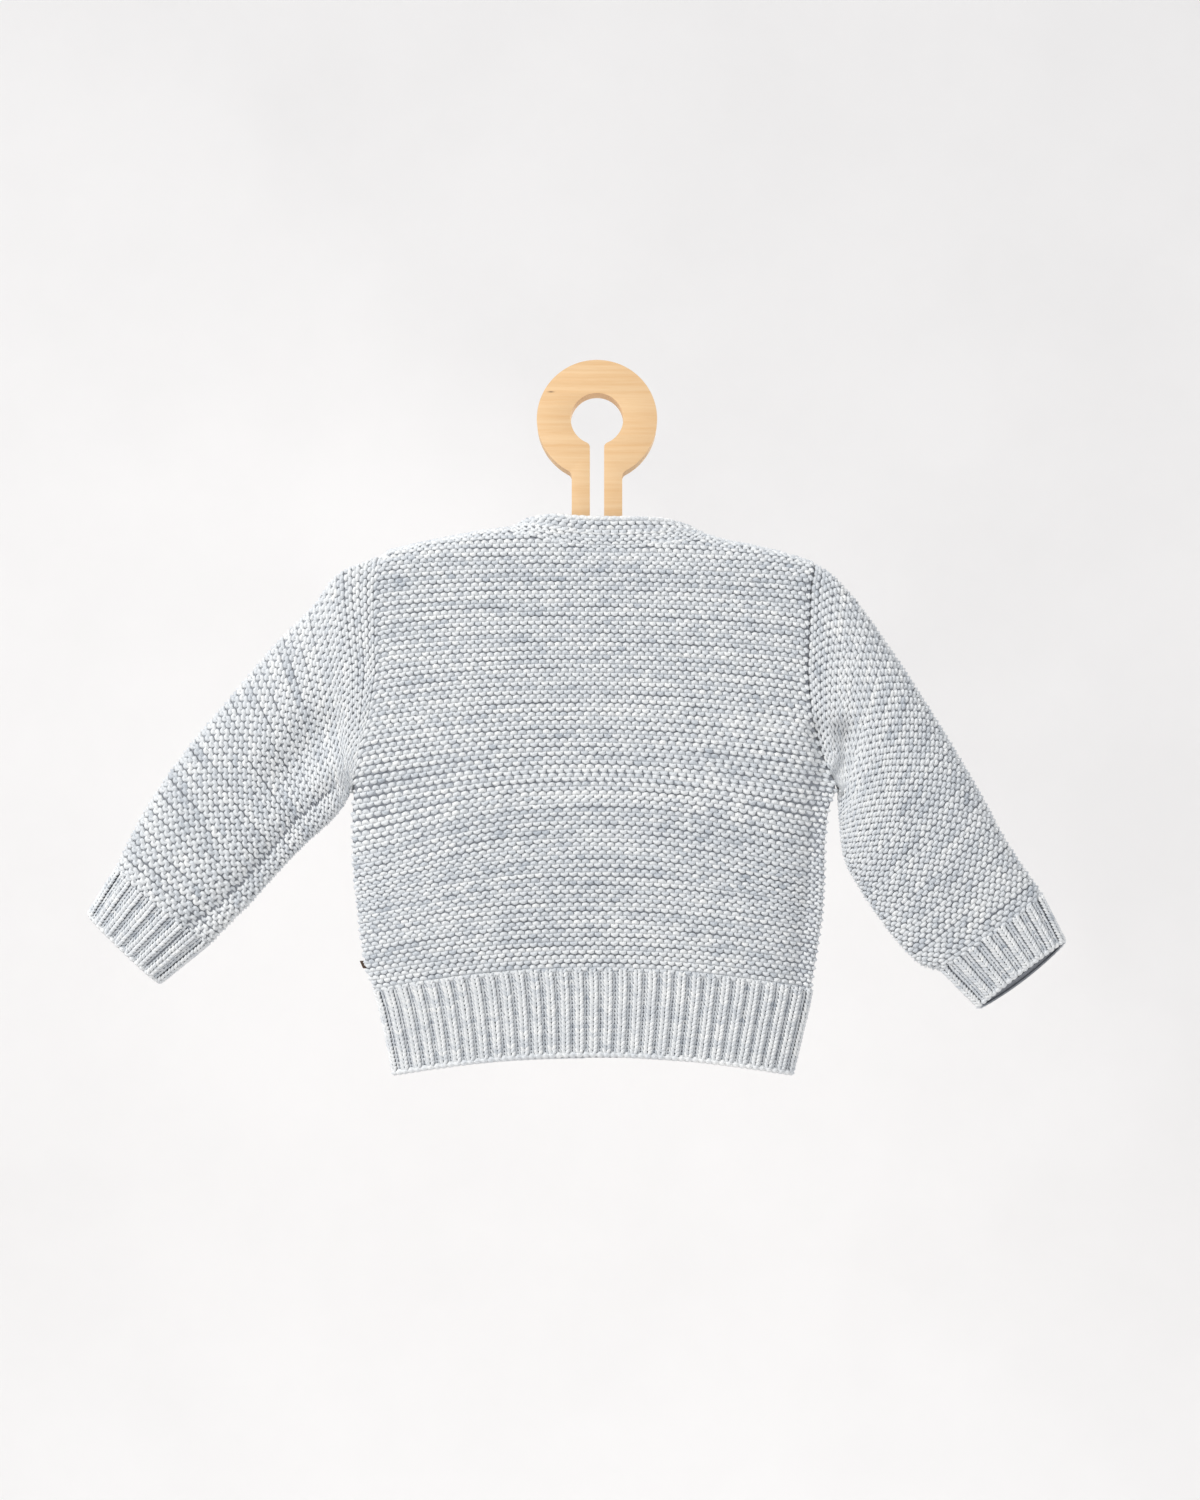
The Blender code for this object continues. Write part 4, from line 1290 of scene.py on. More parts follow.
@dataclass(frozen=True)
class HeatherWool:
    """Soft heather wool: near white and blue-grey fibres spun together, with a dull bloom."""

    name: str = "heather_wool"
    dark: Colour = (0.38, 0.42, 0.47)
    middle: Colour = (0.66, 0.685, 0.71)
    light: Colour = (0.86, 0.865, 0.86)
    fibre_scale: float = 2600.0
    fleck_scale: float = 700.0
    relief: float = 0.00022

    def make(self) -> Material:
        """Builds the finish.

        Returns:
            The material.
        """
        s = Shading.fresh(self.name)
        place = s.place()
        tone = s.node("ShaderNodeAttribute", attribute_name=TONE).outputs["Fac"]
        fleck = s.noise(place, self.fleck_scale, 2.0)
        fibre = s.noise(place, self.fibre_scale)
        mixed = s.blend(tone, 0.62, fleck, 0.38)
        mixed = s.math("ADD", mixed, s.math("MULTIPLY", s.math("SUBTRACT", fibre, 0.5), 0.45))
        colour = s.ramp(mixed, (0.12, self.dark), (0.42, self.middle), (0.78, self.light))
        s.look(Base_Color=colour, Roughness=0.92, Specular_IOR_Level=0.15)
        s.look(Sheen_Weight=0.25, Sheen_Roughness=0.6)
        s.bump(fibre, self.relief, 0.8)
        return s.material


@dataclass(frozen=True)
class GroundWoolPaintedShade:
    """The cloth under the stitches and on its inside, where the ridges show only as soft relief; its dark
    grey is painted shade.
    """

    name: str = "ground_wool"
    # painted shade: the ground is darker than the yarn for the shade between and under the stitches
    colour: Colour = (0.31, 0.325, 0.355)
    # shares of the colour: painted shade in the relief's troughs, painted highlight on its crests
    painted_shade_shares: tuple[float, float] = (0.62, 1.35)
    fibre_scale: float = 2200.0
    relief: float = 0.0008

    def make(self) -> Material:
        """Builds the finish, on a map that counts stitches along the rows and ridges down them, with painted
        shade in the relief's troughs.

        Returns:
            The material.
        """
        s = Shading.fresh(self.name)
        map_place = s.node("ShaderNodeUVMap", uv_map=STITCH_MAP).outputs["UV"]
        stitch = s.node("ShaderNodeSeparateXYZ", {"Vector": map_place}).outputs
        bead = s.math("ABSOLUTE", s.wave(stitch["X"], pi))
        height = s.blend(s.wave(stitch["Y"], 2 * pi), 0.7, bead, 0.5)
        fibre = s.noise(s.place(), self.fibre_scale)
        # painted shade and highlight: the colour follows the relief's height, darker low and lighter high,
        # mixed with fibre noise
        grey = s.blend(height, 0.22, fibre, 0.7)
        dark, light = (tuple(share * c for c in self.colour) for share in self.painted_shade_shares)
        colour = s.ramp(grey, (0.05, dark), (0.45, self.colour), (0.85, light))
        s.look(Base_Color=colour, Roughness=0.95, Specular_IOR_Level=0.1)
        s.bump(s.math("ADD", height, s.math("MULTIPLY", fibre, 0.3)), self.relief)
        return s.material


@dataclass(frozen=True)
class BirchVeneer:
    """The oiled face of the plywood: level grain, and one small knot crack beside the ring's hole."""

    name: str = "birch_veneer"
    lean: float = LEAN
    light: Colour = (0.95, 0.66, 0.37)
    dark: Colour = (0.86, 0.53, 0.25)
    knot: tuple[float, float, float] = (-0.0258, 0.0006, 0.0)
    knot_colour: Colour = (0.10, 0.045, 0.02)
    knot_scale: tuple[float, float, float] = (330.0, 1300.0, 0.0)
    figure_scale: tuple[float, float, float] = (14.0, 420.0, 60.0)
    pore_scale: tuple[float, float, float] = (90.0, 2600.0, 300.0)

    def make(self) -> Material:
        """Builds the finish.

        Returns:
            The material.
        """
        s = Shading.fresh(self.name)
        plate = s.mapped(s.place(), Rotation=(self.lean - pi / 2, 0, 0))
        figure = s.noise(s.mapped(plate, Scale=self.figure_scale), 1.0)
        pores = s.noise(s.mapped(plate, Scale=self.pore_scale), 1.0, 2.0)
        grain = s.blend(figure, 0.7, pores, 0.3)
        colour = s.ramp(grain, (0.30, self.dark), (0.62, self.light))
        offset = s.node("ShaderNodeVectorMath", {0: plate, 1: self.knot}, operation="SUBTRACT")
        squeezed = s.mapped(offset.outputs["Vector"], Scale=self.knot_scale)
        length = s.node("ShaderNodeVectorMath", {0: squeezed}, operation="LENGTH").outputs["Value"]
        wavy = s.math("ADD", length, s.math("MULTIPLY", pores, 0.5))
        crack = s.math("SUBTRACT", 1.25, s.math("SMOOTH_MIN", wavy, 1.0))
        dark = s.math("MINIMUM", s.math("MAXIMUM", crack, 0.0), 1.0)
        s.look(Base_Color=s.mix(dark, colour, self.knot_colour), Roughness=0.46, Specular_IOR_Level=0.4)
        s.look(Coat_Weight=0.12, Coat_Roughness=0.35)
        s.bump(grain, 0.00012, 0.5)
        return s.material


@dataclass(frozen=True)
class PlywoodEdge:
    """The sawn and sanded edge of the plywood, with its thin crossing layers."""

    name: str = "plywood_edge"
    lean: float = LEAN
    layer: float = 0.00133
    fibre_scale: float = 1500.0
    light: Colour = (0.80, 0.54, 0.29)
    dark: Colour = (0.44, 0.25, 0.11)

    def make(self) -> Material:
        """Builds the finish.

        Returns:
            The material.
        """
        s = Shading.fresh(self.name)
        plate = s.mapped(s.place(), Rotation=(self.lean - pi / 2, 0, 0))
        depth = s.node("ShaderNodeSeparateXYZ", {"Vector": plate}).outputs["Z"]
        fibre = s.noise(plate, self.fibre_scale)
        through = s.blend(depth, pi / self.layer, fibre, 0.9)
        layers = s.math("ADD", s.math("MULTIPLY", s.math("SINE", through), 0.5), 0.5)
        colour = s.ramp(layers, (0.30, self.dark), (0.55, self.light))
        s.look(Base_Color=s.mix(0.35, colour, self.light), Roughness=0.6)
        s.bump(s.math("ADD", layers, fibre), 0.00015, 0.6)
        return s.material


@dataclass(frozen=True)
class ShellButton:
    """Pale plastic that imitates shell: cloudy, softly polished, scuffed along the rim."""

    name: str = "shell_button"
    light: Colour = (0.84, 0.82, 0.77)
    dark: Colour = (0.60, 0.57, 0.52)
    cloud_scale: float = 190.0
    scuff_scale: float = 2400.0

    def make(self) -> Material:
        """Builds the finish.

        Returns:
            The material.
        """
        s = Shading.fresh(self.name)
        place = s.place()
        colour = s.ramp(s.noise(place, self.cloud_scale, 4.0), (0.30, self.dark), (0.70, self.light))
        scuffs = s.noise(place, self.scuff_scale, 2.0)
        rough = s.math("ADD", 0.22, s.math("MULTIPLY", scuffs, 0.25))
        s.look(Base_Color=colour, Roughness=rough, Coat_Weight=0.3, Coat_Roughness=0.15)
        s.bump(scuffs, 0.00004, 0.5)
        return s.material


@dataclass(frozen=True)
class BrownTape:
    """Dark brown woven tape."""

    name: str = "brown_tape"
    warp: Colour = (0.100, 0.055, 0.032)
    weft: Colour = (0.045, 0.026, 0.017)
    thread: float = 0.00035

    def make(self) -> Material:
        """Builds the finish.

        Returns:
            The material.
        """
        s = Shading.fresh(self.name)
        parts = s.node("ShaderNodeSeparateXYZ", {"Vector": s.place()}).outputs
        over, under = (s.wave(parts[axis], 2 * pi / self.thread) for axis in "XZ")
        weave = s.math("ADD", s.math("MULTIPLY", s.math("MULTIPLY", over, under), 0.5), 0.5)
        s.look(Base_Color=s.ramp(weave, (0.3, self.weft), (0.7, self.warp)), Roughness=0.75)
        s.bump(weave, 0.0001, 0.8)
        return s.material


@dataclass(frozen=True)
class StudioPaint:
    """Matt pale paint for the floor and the far backdrop."""

    name: str = "studio_paint"
    colour: Colour = (0.93, 0.915, 0.905)

    def make(self) -> Material:
        """Builds the finish.

        Returns:
            The material.
        """
        s = Shading.fresh(self.name)
        mottle = s.noise(s.place(), 3.0, 4.0)
        low = tuple(0.97 * c for c in self.colour)
        s.look(Base_Color=s.ramp(mottle, (0.35, low), (0.65, self.colour)), Roughness=0.9)
        return s.material


# ------------------------------------------------------------------------------------- making of pieces


def dress(piece: Object, nodes: tuple[str, ...] = ()) -> Object:
    """Puts a finished piece on the garment.

    Args:
        piece: The piece.
        nodes: The solids that it takes the place of.

    Returns:
        The same piece.
    """
    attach(piece, BODY)
    if nodes:
        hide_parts(*nodes)
    log.info("%s: %d faces", piece.name, len(piece.data.polygons))
    return piece


def linked(name: str, data: bpy.types.ID) -> Object:
    """An object for a mesh, a curve, a lamp or a lens, in the scene.

    Args:
        name: The object's name.
        data: What it shows.

    Returns:
        The object.
    """
    piece = bpy.data.objects.new(name, data)
    bpy.context.scene.collection.objects.link(piece)
    return piece


def evaluated(piece: Object) -> Mesh:
    """What a curve, or a piece's modifiers, make, as a plain mesh."""
    bpy.context.view_layer.update()
    return bpy.data.meshes.new_from_object(piece.evaluated_get(bpy.context.evaluated_depsgraph_get()))


def settle(piece: Object) -> None:
    """Turns what a piece's modifiers make into its own plain mesh.

    Args:
        piece: The piece, still with its modifiers.
    """
    made = evaluated(piece)
    piece.modifiers.clear()
    piece.data = made
    made.name = piece.name


def finished(mesh: bmesh.types.BMesh, name: str, weld: float = 0.0) -> Mesh:
    """Turns a mesh in the making into a plain one.

    Args:
        mesh: The mesh, which is used up.
        name: The plain mesh's name.
        weld: How near two corners are that become one.

    Returns:
        The plain mesh, its faces turned outwards.
    """
    if weld:
        bmesh.ops.remove_doubles(mesh, verts=mesh.verts, dist=weld)
    bmesh.ops.recalc_face_normals(mesh, faces=mesh.faces)
    data = bpy.data.meshes.new(name)
    mesh.to_mesh(data)
    mesh.free()
    return data


def shade(data: Mesh, angle: float) -> None:
    """Shades a mesh smooth, apart from edges sharper than an angle in degrees."""
    data.shade_smooth()
    data.set_sharp_from_angle(angle=radians(angle))


@dataclass
class NodeTree:
    """A tree of geometry nodes, with named inputs."""

    name: str

    def __post_init__(self) -> None:
        """Starts the tree with a geometry input and output."""
        self.tree = bpy.data.node_groups.new(self.name, "GeometryNodeTree")
        self.tree.interface.new_socket("Geometry", in_out="INPUT", socket_type="NodeSocketGeometry")
        self.tree.interface.new_socket("Geometry", in_out="OUTPUT", socket_type="NodeSocketGeometry")
        self.start = self.tree.nodes.new("NodeGroupInput")
        self.end = self.tree.nodes.new("NodeGroupOutput")

    def size(self, name: str, kind: str, value: float) -> None:
        """Adds a named input with its usual value."""
        socket = self.tree.interface.new_socket(name, in_out="INPUT", socket_type=kind)
        socket.default_value = value

    def node(self, kind: str, inputs: dict, **settings: object) -> bpy.types.Node:
        """Adds a node, with its inputs and properties."""
        return add_node(self.tree, kind, inputs, **settings)

    def named(self, attribute: str, kind: str = "FLOAT") -> NodeSocket:
        """A named attribute's socket."""
        return self.node("GeometryNodeInputNamedAttribute", {"Name": attribute}, data_type=kind).outputs[0]

    def math(self, operation: str, first: object, second: object) -> NodeSocket:
        """The result of a sum on two sockets or numbers."""
        return self.node("ShaderNodeMath", {0: first, 1: second}, operation=operation).outputs[0]

    def finish(self, geometry: NodeSocket, material: Material) -> None:
        """Ends the tree: real geometry, one material.

        Args:
            geometry: What the tree has made.
            material: Its material.
        """
        real = self.node("GeometryNodeRealizeInstances", {"Geometry": geometry})
        dressed = self.node("GeometryNodeSetMaterial", {"Geometry": real.outputs[0], "Material": material})
        self.tree.links.new(dressed.outputs[0], self.end.inputs[0])

    def put_on(self, piece: Object, sizes: dict[str, float]) -> None:
        """Gives a piece the tree as a modifier, with its sizes.

        Args:
            piece: The piece.
            sizes: A value for each named input.
        """
        modifier = piece.modifiers.new(self.name, "NODES")
        modifier.node_group = self.tree
        for item in self.tree.interface.items_tree:
            if item.item_type == "SOCKET" and item.in_out == "INPUT" and item.name in sizes:
                modifier[item.identifier] = sizes[item.name]


@dataclass(frozen=True)
class YarnSpinner:
    """Spins lines into yarn: a round cord along each, thicker and thinner as the line says."""

    material: Material
    radius: float = 0.00124
    sides: int = 4
    unevenness: float = 0.05
    seed: int = 11

    def tree(self) -> NodeTree:
        """Builds the nodes that sweep a ring along each line.

        Returns:
            Their tree.
        """
        tree = NodeTree("spin_yarn")
        tree.size("Yarn radius", "NodeSocketFloat", self.radius)
        tree.size("Sides", "NodeSocketInt", self.sides)
        tree.size("Unevenness", "NodeSocketFloat", self.unevenness)
        tree.size("Seed", "NodeSocketInt", self.seed)
        inputs = tree.start.outputs
        curve = tree.node("GeometryNodeMeshToCurve", {"Mesh": inputs["Geometry"]})
        free = {"Curve": curve.outputs[0], "Normal": tree.named(OUTWARD, "FLOAT_VECTOR")}
        turned = tree.node("GeometryNodeSetCurveNormal", free, mode="FREE")
        ring = {"Resolution": inputs["Sides"], "Radius": inputs["Yarn radius"]}
        profile = tree.node("GeometryNodeCurvePrimitiveCircle", ring)
        least, most = (tree.math(way, 1.0, inputs["Unevenness"]) for way in ("SUBTRACT", "ADD"))
        limits = {"Seed": inputs["Seed"], 2: least, 3: most}
        chance = tree.node("FunctionNodeRandomValue", limits, data_type="FLOAT")
        thickness = tree.math("MULTIPLY", tree.named(THICKNESS), chance.outputs[1])
        swept = {"Curve": turned.outputs[0], "Profile Curve": profile.outputs[0], "Fill Caps": True}
        cord = tree.node("GeometryNodeCurveToMesh", {**swept, "Scale": thickness})
        smooth = tree.node("GeometryNodeSetShadeSmooth", {"Geometry": cord.outputs[0]})
        tree.finish(smooth.outputs[0], self.material)
        return tree

    def spin(self, name: str, lines: YarnLines, radius: Optional[float] = None) -> Object:
        """Makes one piece of yarn.

        Args:
            name: The piece's name.
            lines: The lines that the yarn follows.
            radius: The yarn's radius, where it isn't the usual one.

        Returns:
            The piece.
        """
        piece = linked(name, lines.mesh(name))
        sizes = {"Yarn radius": radius or self.radius, "Sides": self.sides, "Seed": self.seed}
        self.tree().put_on(piece, sizes)
        settle(piece)
        for spent in (OUTWARD, THICKNESS):
            if spent in piece.data.attributes:
                piece.data.attributes.remove(piece.data.attributes[spent])
        return piece


@dataclass(frozen=True)
class Ground:
    """The thin cloth that carries the stitches: a closed wall a little under the yarn."""

    material: Material
    body: BodyForm
    outer: float = 0.00125
    inner: float = 0.0032
    sharp: float = 60.0

    def make(
        self,
        name: str,
        form: Shape,
        u: Array,
        v: Array,
        knit: tuple[float, float],
        closed: bool,
        creases: tuple[Crease, ...] = (),
    ) -> Object:
        """Builds the wall.

        Args:
            name: The piece's name.
            form: The cloth's form.
            u: Fractions along the rows.
            v: Fractions down them.
            knit: Stitches along the rows and ridges down them, for its map.
            closed: Whether it is a tube.
            creases: The folds pressed into it.

        Returns:
            The piece.
        """
        across, down = np.meshgrid(u, v)
        mesh = bmesh.new()
        layer = mesh.loops.layers.uv.new(STITCH_MAP)
        grids = []
        where = {}
        shift = pressed(form(across, down, 0.0), creases, self.body)
        for inset in (self.outer, self.inner):
            places = form(across, down, inset)
            places[..., 1] += shift
            grid = [[mesh.verts.new(point) for point in row] for row in places]
            for row, at_v in zip(grid, v):
                where.update((vert, (at_u * knit[0], -at_v * knit[1])) for vert, at_u in zip(row, u))
            grids.append([row + row[:1] for row in grid] if closed else grid)
        for corners in self.faces(*grids, closed):
            face = mesh.faces.new(corners)
            for loop in face.loops:
                along, below = where[loop.vert]
                if closed and along == 0 and any(where[corner][0] > knit[0] / 2 for corner in corners):
                    along = knit[0]
                loop[layer].uv = (along, below)
        data = finished(mesh, name)
        shade(data, self.sharp)
        data.materials.append(self.material)
        return linked(name, data)

    @staticmethod
    def faces(outside: list, inside: list, closed: bool) -> list[tuple]:
        """The faces of both sides and of the rims that join them.

        Args:
            outside: Rows of corners on the cloth's outside.
            inside: Those on its inside.
            closed: Whether it is a tube.

        Returns:
            Four corners for each face.
        """
        strips = [pair for grid in (outside, inside) for pair in zip(grid, grid[1:])]
        strips += [(outside[end], inside[end]) for end in (0, -1)]
        if not closed:
            strips += [([row[end] for row in outside], [row[end] for row in inside]) for end in (0, -1)]
        return [
            (row[k], row[k + 1], below[k + 1], below[k]) for row, below in strips for k in range(len(row) - 1)
        ]


@dataclass(frozen=True)
class Cut:
    """The flat size that a piece of cloth was knitted to, in metres, with its area in square metres."""

    width: float
    length: float
    area: Optional[float] = None

    @classmethod
    def tapered(cls, start: float, end: float, ridges: int) -> "Cut":
        """A piece of garter stitch that widens evenly.

        Args:
            start: Stitches in its first row.
            end: Stitches in its last row.
            ridges: How many ridges long.

        Returns:
            Its cut.
        """
        length = ridges * RIDGE
        return cls(max(start, end) * STITCH, length, (start + end) / 2 * STITCH * length)


@dataclass(frozen=True)
class Loom:
    """Finishes a piece of cloth: its yarn and the ground under it."""

    spinner: YarnSpinner
    ground: Ground

    def finish(
        self,
        name: str,
        slot: Slot,
        yarns: dict[str, YarnLines],
        form: Shape,
        u: Array,
        v: Array,
        knit: tuple[float, float],
        cut: Cut,
        rests_on: list[str],
        radius: Optional[float] = None,
        closed: bool = False,
        creases: tuple[Crease, ...] = (),
    ) -> None:
        """Args:
            name: Its solid's name.
            slot: Its material slot; not used.
            yarns: The lines of each piece of yarn, by the last word of its name.
            form: The cloth's form.
            u: Fractions along the rows, for the ground.
            v: Fractions down them.
            knit: Stitches along the rows and ridges down them.
            cut: The flat size; not used.
            rests_on: The pieces that it hangs on; not used.
            radius: The yarn's radius, where it isn't the usual one.
            closed: Whether it is a tube.
            creases: The folds pressed into the ground.
        """
        spun = [self.spinner.spin(f"{name}_{part}", lines, radius) for part, lines in yarns.items()]
        pieces = [dress(piece) for piece in spun]
        ground = self.ground.make(f"{name}_ground", form, u, v, knit, closed, creases)
        dress(ground, (name,))


# ----------------------------------------------------------------------------------- the garment's parts


RIB_YARN = 0.00100
ARMPIT_FOLD = Crease(((0.1225, -0.1900), (0.1272, -0.2040), (0.1330, -0.2190)), depth=0.0050, width=0.0065)


@dataclass
class Body:
    """Back and fronts with their ribbed hems."""

    form: BodyForm
    loom: Loom
    ridges: int = 51
    back_stitches: int = 58
    front_stitches: tuple[int, int] = (28, 25)
    back_ribs: int = 31
    front_ribs: tuple[int, int] = (14, 13)
    rib_rows: int = 20
    over_neck: float = -0.08
    rim_depth: float = 0.0074
    fold_end: float = 0.042
    armpit_end: float = 0.66
    ground_rows: tuple[int, int, int] = (9, 34, 12)  # over the fold, beside the armhole and below it
    back_columns: int = 60
    front_columns: int = 26
    hem_grid: tuple[int, int] = (46, 9)
    right_turn: Rows = ((0.1345, -0.2250), (0.1330, -0.2600), (0.1300, -0.2950), (0.1270, -0.3200))

    def __post_init__(self) -> None:
        """Sets out the panels between the body's lines."""
        body = self.form
        gap = body.seam_gap / 2
        left, right = (partial(body.side_x, side=side) for side in Side)
        left_neck, right_neck = (partial(body.neckline, side=side) for side in Side)
        foot = partial(body.arch, line=body.rib_top, rise=gap)
        rib_top = partial(body.arch, line=body.rib_top, rise=-gap)
        back_foot = partial(body.arch, line=body.back_hem)
        front_foot = partial(body.arch, line=body.front_hem)
        back, front = Face.BACK, Face.FRONT
        self.back = PanelForm(body, back, left, right, body.back_top, foot, droops=(0, 1))
        self.left_front = PanelForm(body, front, left, left_neck, body.roof, foot, (True, False), (0,))
        self.right_front = PanelForm(body, front, right_neck, right, body.roof, foot, (False, True), (1,))
        self.back_hem = PanelForm(body, back, left, right, rib_top, back_foot)
        self.left_hem = PanelForm(body, front, left, left_neck, rib_top, front_foot, (True, False))
        self.right_hem = PanelForm(body, front, right_neck, right, rib_top, front_foot, (False, True))

    def rows(self) -> Array:
        """Rows of a panel's ground: close over the shoulder's fold and beside the armhole.

        Returns:
            Fractions down the panel.
        """
        over, beside, below = self.ground_rows
        fold = self.fold_end * (1 - np.cos(np.linspace(0, pi / 2, over)))
        armhole = np.linspace(self.fold_end, self.armpit_end, beside)
        return np.concatenate([fold, armhole[1:], np.linspace(self.armpit_end, 1, below)[1:]])

    def panel(
        self,
        name: str,
        form: PanelForm,
        stitches: int,
        columns: Array,
        loops: tuple[Loops, Loops],
        cut: Cut,
        creases: tuple[Crease, ...] = (),
    ) -> None:
        """Makes a garter panel.

        Args:
            name: Its solid's name.
            form: Its form.
            stitches: Stitches in a row.
            columns: Fractions across for its ground.
            loops: The two lines of loops of a ridge.
            cut: Its flat size.
            creases: The folds pressed into it.
        """
        grid, spare = form.level_rows(first=self.over_neck)
        cloth = ClothFace(grid, form.face, creases=creases, first=self.over_neck, spare=spare, body=self.form)
        rim = ClothFace(form.rim_rows(self.rim_depth), form.face)
        knit = GarterStitch(self.ridges, stitches, seed=3 + form.face.value + stitches)
        edge = GarterStitch(2, stitches, seed=90 + stitches)
        yarns = {"heads": YarnLines(), "feet": YarnLines()}
        for loop, lines in zip(loops, yarns.values()):
            knit.knit(cloth, loop, lines)
            edge.knit(rim, loop, lines)
        u, v, count, rests_on = columns, self.rows(), (stitches, self.ridges), ["hanger"]
        self.loom.finish(name, Slot.BODY, yarns, form.place, u, v, count, cut, rests_on, creases=creases)

    def hem(self, name: str, form: PanelForm, ribs: int, cut: Cut) -> None:
        """Makes a ribbed hem.

        Args:
            name: Its solid's name.
            form: Its form.
            ribs: Raised columns across it.
            cut: Its flat size.
        """
        cloth = ClothFace.of(form.place, rows=60, columns=260, looks=form.face)
        lines = YarnLines()
        RibStitch(ribs, self.rib_rows, seed=ribs).knit(cloth, lines)
        EdgeChain(at=0.985).lay(cloth, lines)
        columns, rows = self.hem_grid
        u, v = crowded(columns), even(rows)
        count, rests_on = (2 * ribs, self.rib_rows), ["back_panel_ground"]
        self.loom.finish(name, Slot.RIB, {"ribs": lines}, form.place, u, v, count, cut, rests_on, RIB_YARN)

    def build(self) -> None:
        """Makes every piece of the body."""
        fine, plain = (HEADS, FEET), (PLAIN_HEADS, PLAIN_FEET)
        folds = (ARMPIT_FOLD, Crease(self.right_turn, depth=0.0060, width=0.0190))
        u = crowded(self.back_columns)
        self.panel("back_panel", self.back, self.back_stitches, u, fine, Cut(0.280, 0.255), folds)
        left, right = self.front_stitches
        u = crowded(self.front_columns, -1, 0)
        self.panel("left_front", self.left_front, left, u, plain, Cut(0.140, 0.255))
        u = crowded(self.front_columns, 0, 1)
        self.panel("right_front", self.right_front, right, u, plain, Cut(0.125, 0.255))
        self.hem("back_hem", self.back_hem, self.back_ribs, Cut(0.255, 0.047))
        left, right = self.front_ribs
        self.hem("left_front_hem", self.left_hem, left, Cut(0.125, 0.050))
        self.hem("right_front_hem", self.right_hem, right, Cut(0.115, 0.050))


@dataclass
class SleevePair:
    """Both sleeves with their ribbed cuffs."""

    form: BodyForm
    loom: Loom
    ridges: int = 46
    stitches: tuple[int, int] = (52, 30)
    cuff_ribs: int = 16
    cuff_rows: int = 14
    around: int = 56
    map_stitches: int = 44
    cap_end: float = 0.3
    ground_rows: tuple[int, int] = (20, 26)  # beside the armhole, and below
    cuff_rings: int = 7
    left_upper: Rows = (
        (-0.1221, -0.0917),
        (-0.1268, -0.0940),
        (-0.1446, -0.1023),
        (-0.1585, -0.1190),
        (-0.1757, -0.1357),
        (-0.2041, -0.1690),
        (-0.2319, -0.2024),
        (-0.2541, -0.2357),
        (-0.2697, -0.2663),
    )
    left_lower: Rows = (
        (-0.1367, -0.2212),
        (-0.1403, -0.2290),
        (-0.1450, -0.2357),
        (-0.1629, -0.2524),
        (-0.1790, -0.2691),
        (-0.1940, -0.2858),
        (-0.2107, -0.3025),
        (-0.2168, -0.3091),
    )
    right_upper: Rows = (
        (0.1228, -0.0960),
        (0.1310, -0.1010),
        (0.1418, -0.1106),
        (0.1546, -0.1273),
        (0.1707, -0.1523),
        (0.1918, -0.1857),
        (0.2118, -0.2191),
        (0.2302, -0.2524),
        (0.2496, -0.2808),
    )
    right_lower: Rows = (
        (0.1347, -0.2212),
        (0.1352, -0.2290),
        (0.1356, -0.2441),
        (0.1379, -0.2608),
        (0.1468, -0.2774),
        (0.1579, -0.2941),
        (0.1712, -0.3108),
        (0.1815, -0.3200),
        (0.1913, -0.3230),
    )
    left_mouth: Rows = ((-0.2847, -0.2913), (-0.2441, -0.3305))
    right_mouth: Rows = ((0.2622, -0.3064), (0.2130, -0.3442))
    right_bow: tuple[float, float] = (-0.0026, 0.0042)
    left_seam: Rows = (
        (-0.1462, -0.2207),
        (-0.1674, -0.2385),
        (-0.1924, -0.2686),
        (-0.2135, -0.2880),
        (-0.2296, -0.3002),
    )
    seam_width: float = 0.0012
    left_cuff_fold: Rows = ((-0.2300, -0.3010), (-0.2490, -0.3185))
    left_elbow_fold: Rows = ((-0.1530, -0.1900), (-0.1730, -0.2150))
    right_pocket: Rows = ((0.1340, -0.2215), (0.1385, -0.2030), (0.1378, -0.1900))

    def sleeve(self, name: str, form: SleeveForm, creases: tuple[Crease, ...], cut: Cut) -> None:
        """Makes a garter sleeve.

        Args:
            name: Its solid's name.
            form: Its form.
            creases: The folds and seams pressed into it.
            cut: Its flat size, all round.
        """
        cloth = ClothFace.of(form.place, rows=360, columns=241, closed=True, creases=creases)
        knit = GarterStitch(self.ridges, seed=40 + form.side.value)
        lines = YarnLines()
        for loops in (HEADS, PLAIN_FEET):
            knit.knit(cloth, loops, lines)
        chain = EdgeChain(at=0.002, lump=0.0046, height=-0.0022, swing=0.0003, thickness=0.75, seed=12)
        chain.lay(cloth, lines)
        u = np.arange(self.around) / self.around
        beside, below = self.ground_rows
        v = np.concatenate([np.linspace(0, self.cap_end, beside), np.linspace(self.cap_end, 1, below)[1:]])
        wide = tuple(crease for crease in creases if crease.width > self.seam_width)
        count, rests_on = (self.map_stitches, self.ridges), ["back_panel_ground", "hanger"]
        yarns = {"stitches": lines}
        self.loom.finish(name, Slot.SLEEVE, yarns, form.place, u, v, count, cut, rests_on, None, True, wide)

    def cuff(self, name: str, form: SleeveForm, creases: tuple[Crease, ...], cut: Cut) -> None:
        """Makes a ribbed cuff.

        Args:
            name: Its solid's name.
            form: The form of its sleeve.
            creases: The folds pressed into it.
            cut: Its flat size, all round.
        """
        cloth = ClothFace.of(form.cuff_place, rows=50, columns=241, closed=True, creases=creases)
        lines = YarnLines()
        RibStitch(self.cuff_ribs, self.cuff_rows, seed=60 + form.side.value).knit(cloth, lines)
        EdgeChain(at=0.97, height=-0.0012, thickness=1.35).lay(cloth, lines)
        u, v = np.arange(self.around) / self.around, even(self.cuff_rings)
        count, rests_on = (2 * self.cuff_ribs, self.cuff_rows), [f"{form.side.name.lower()}_sleeve_ground"]
        yarns = {"ribs": lines}
        self.loom.finish(name, Slot.RIB, yarns, form.cuff_place, u, v, count, cut, rests_on, RIB_YARN, True)

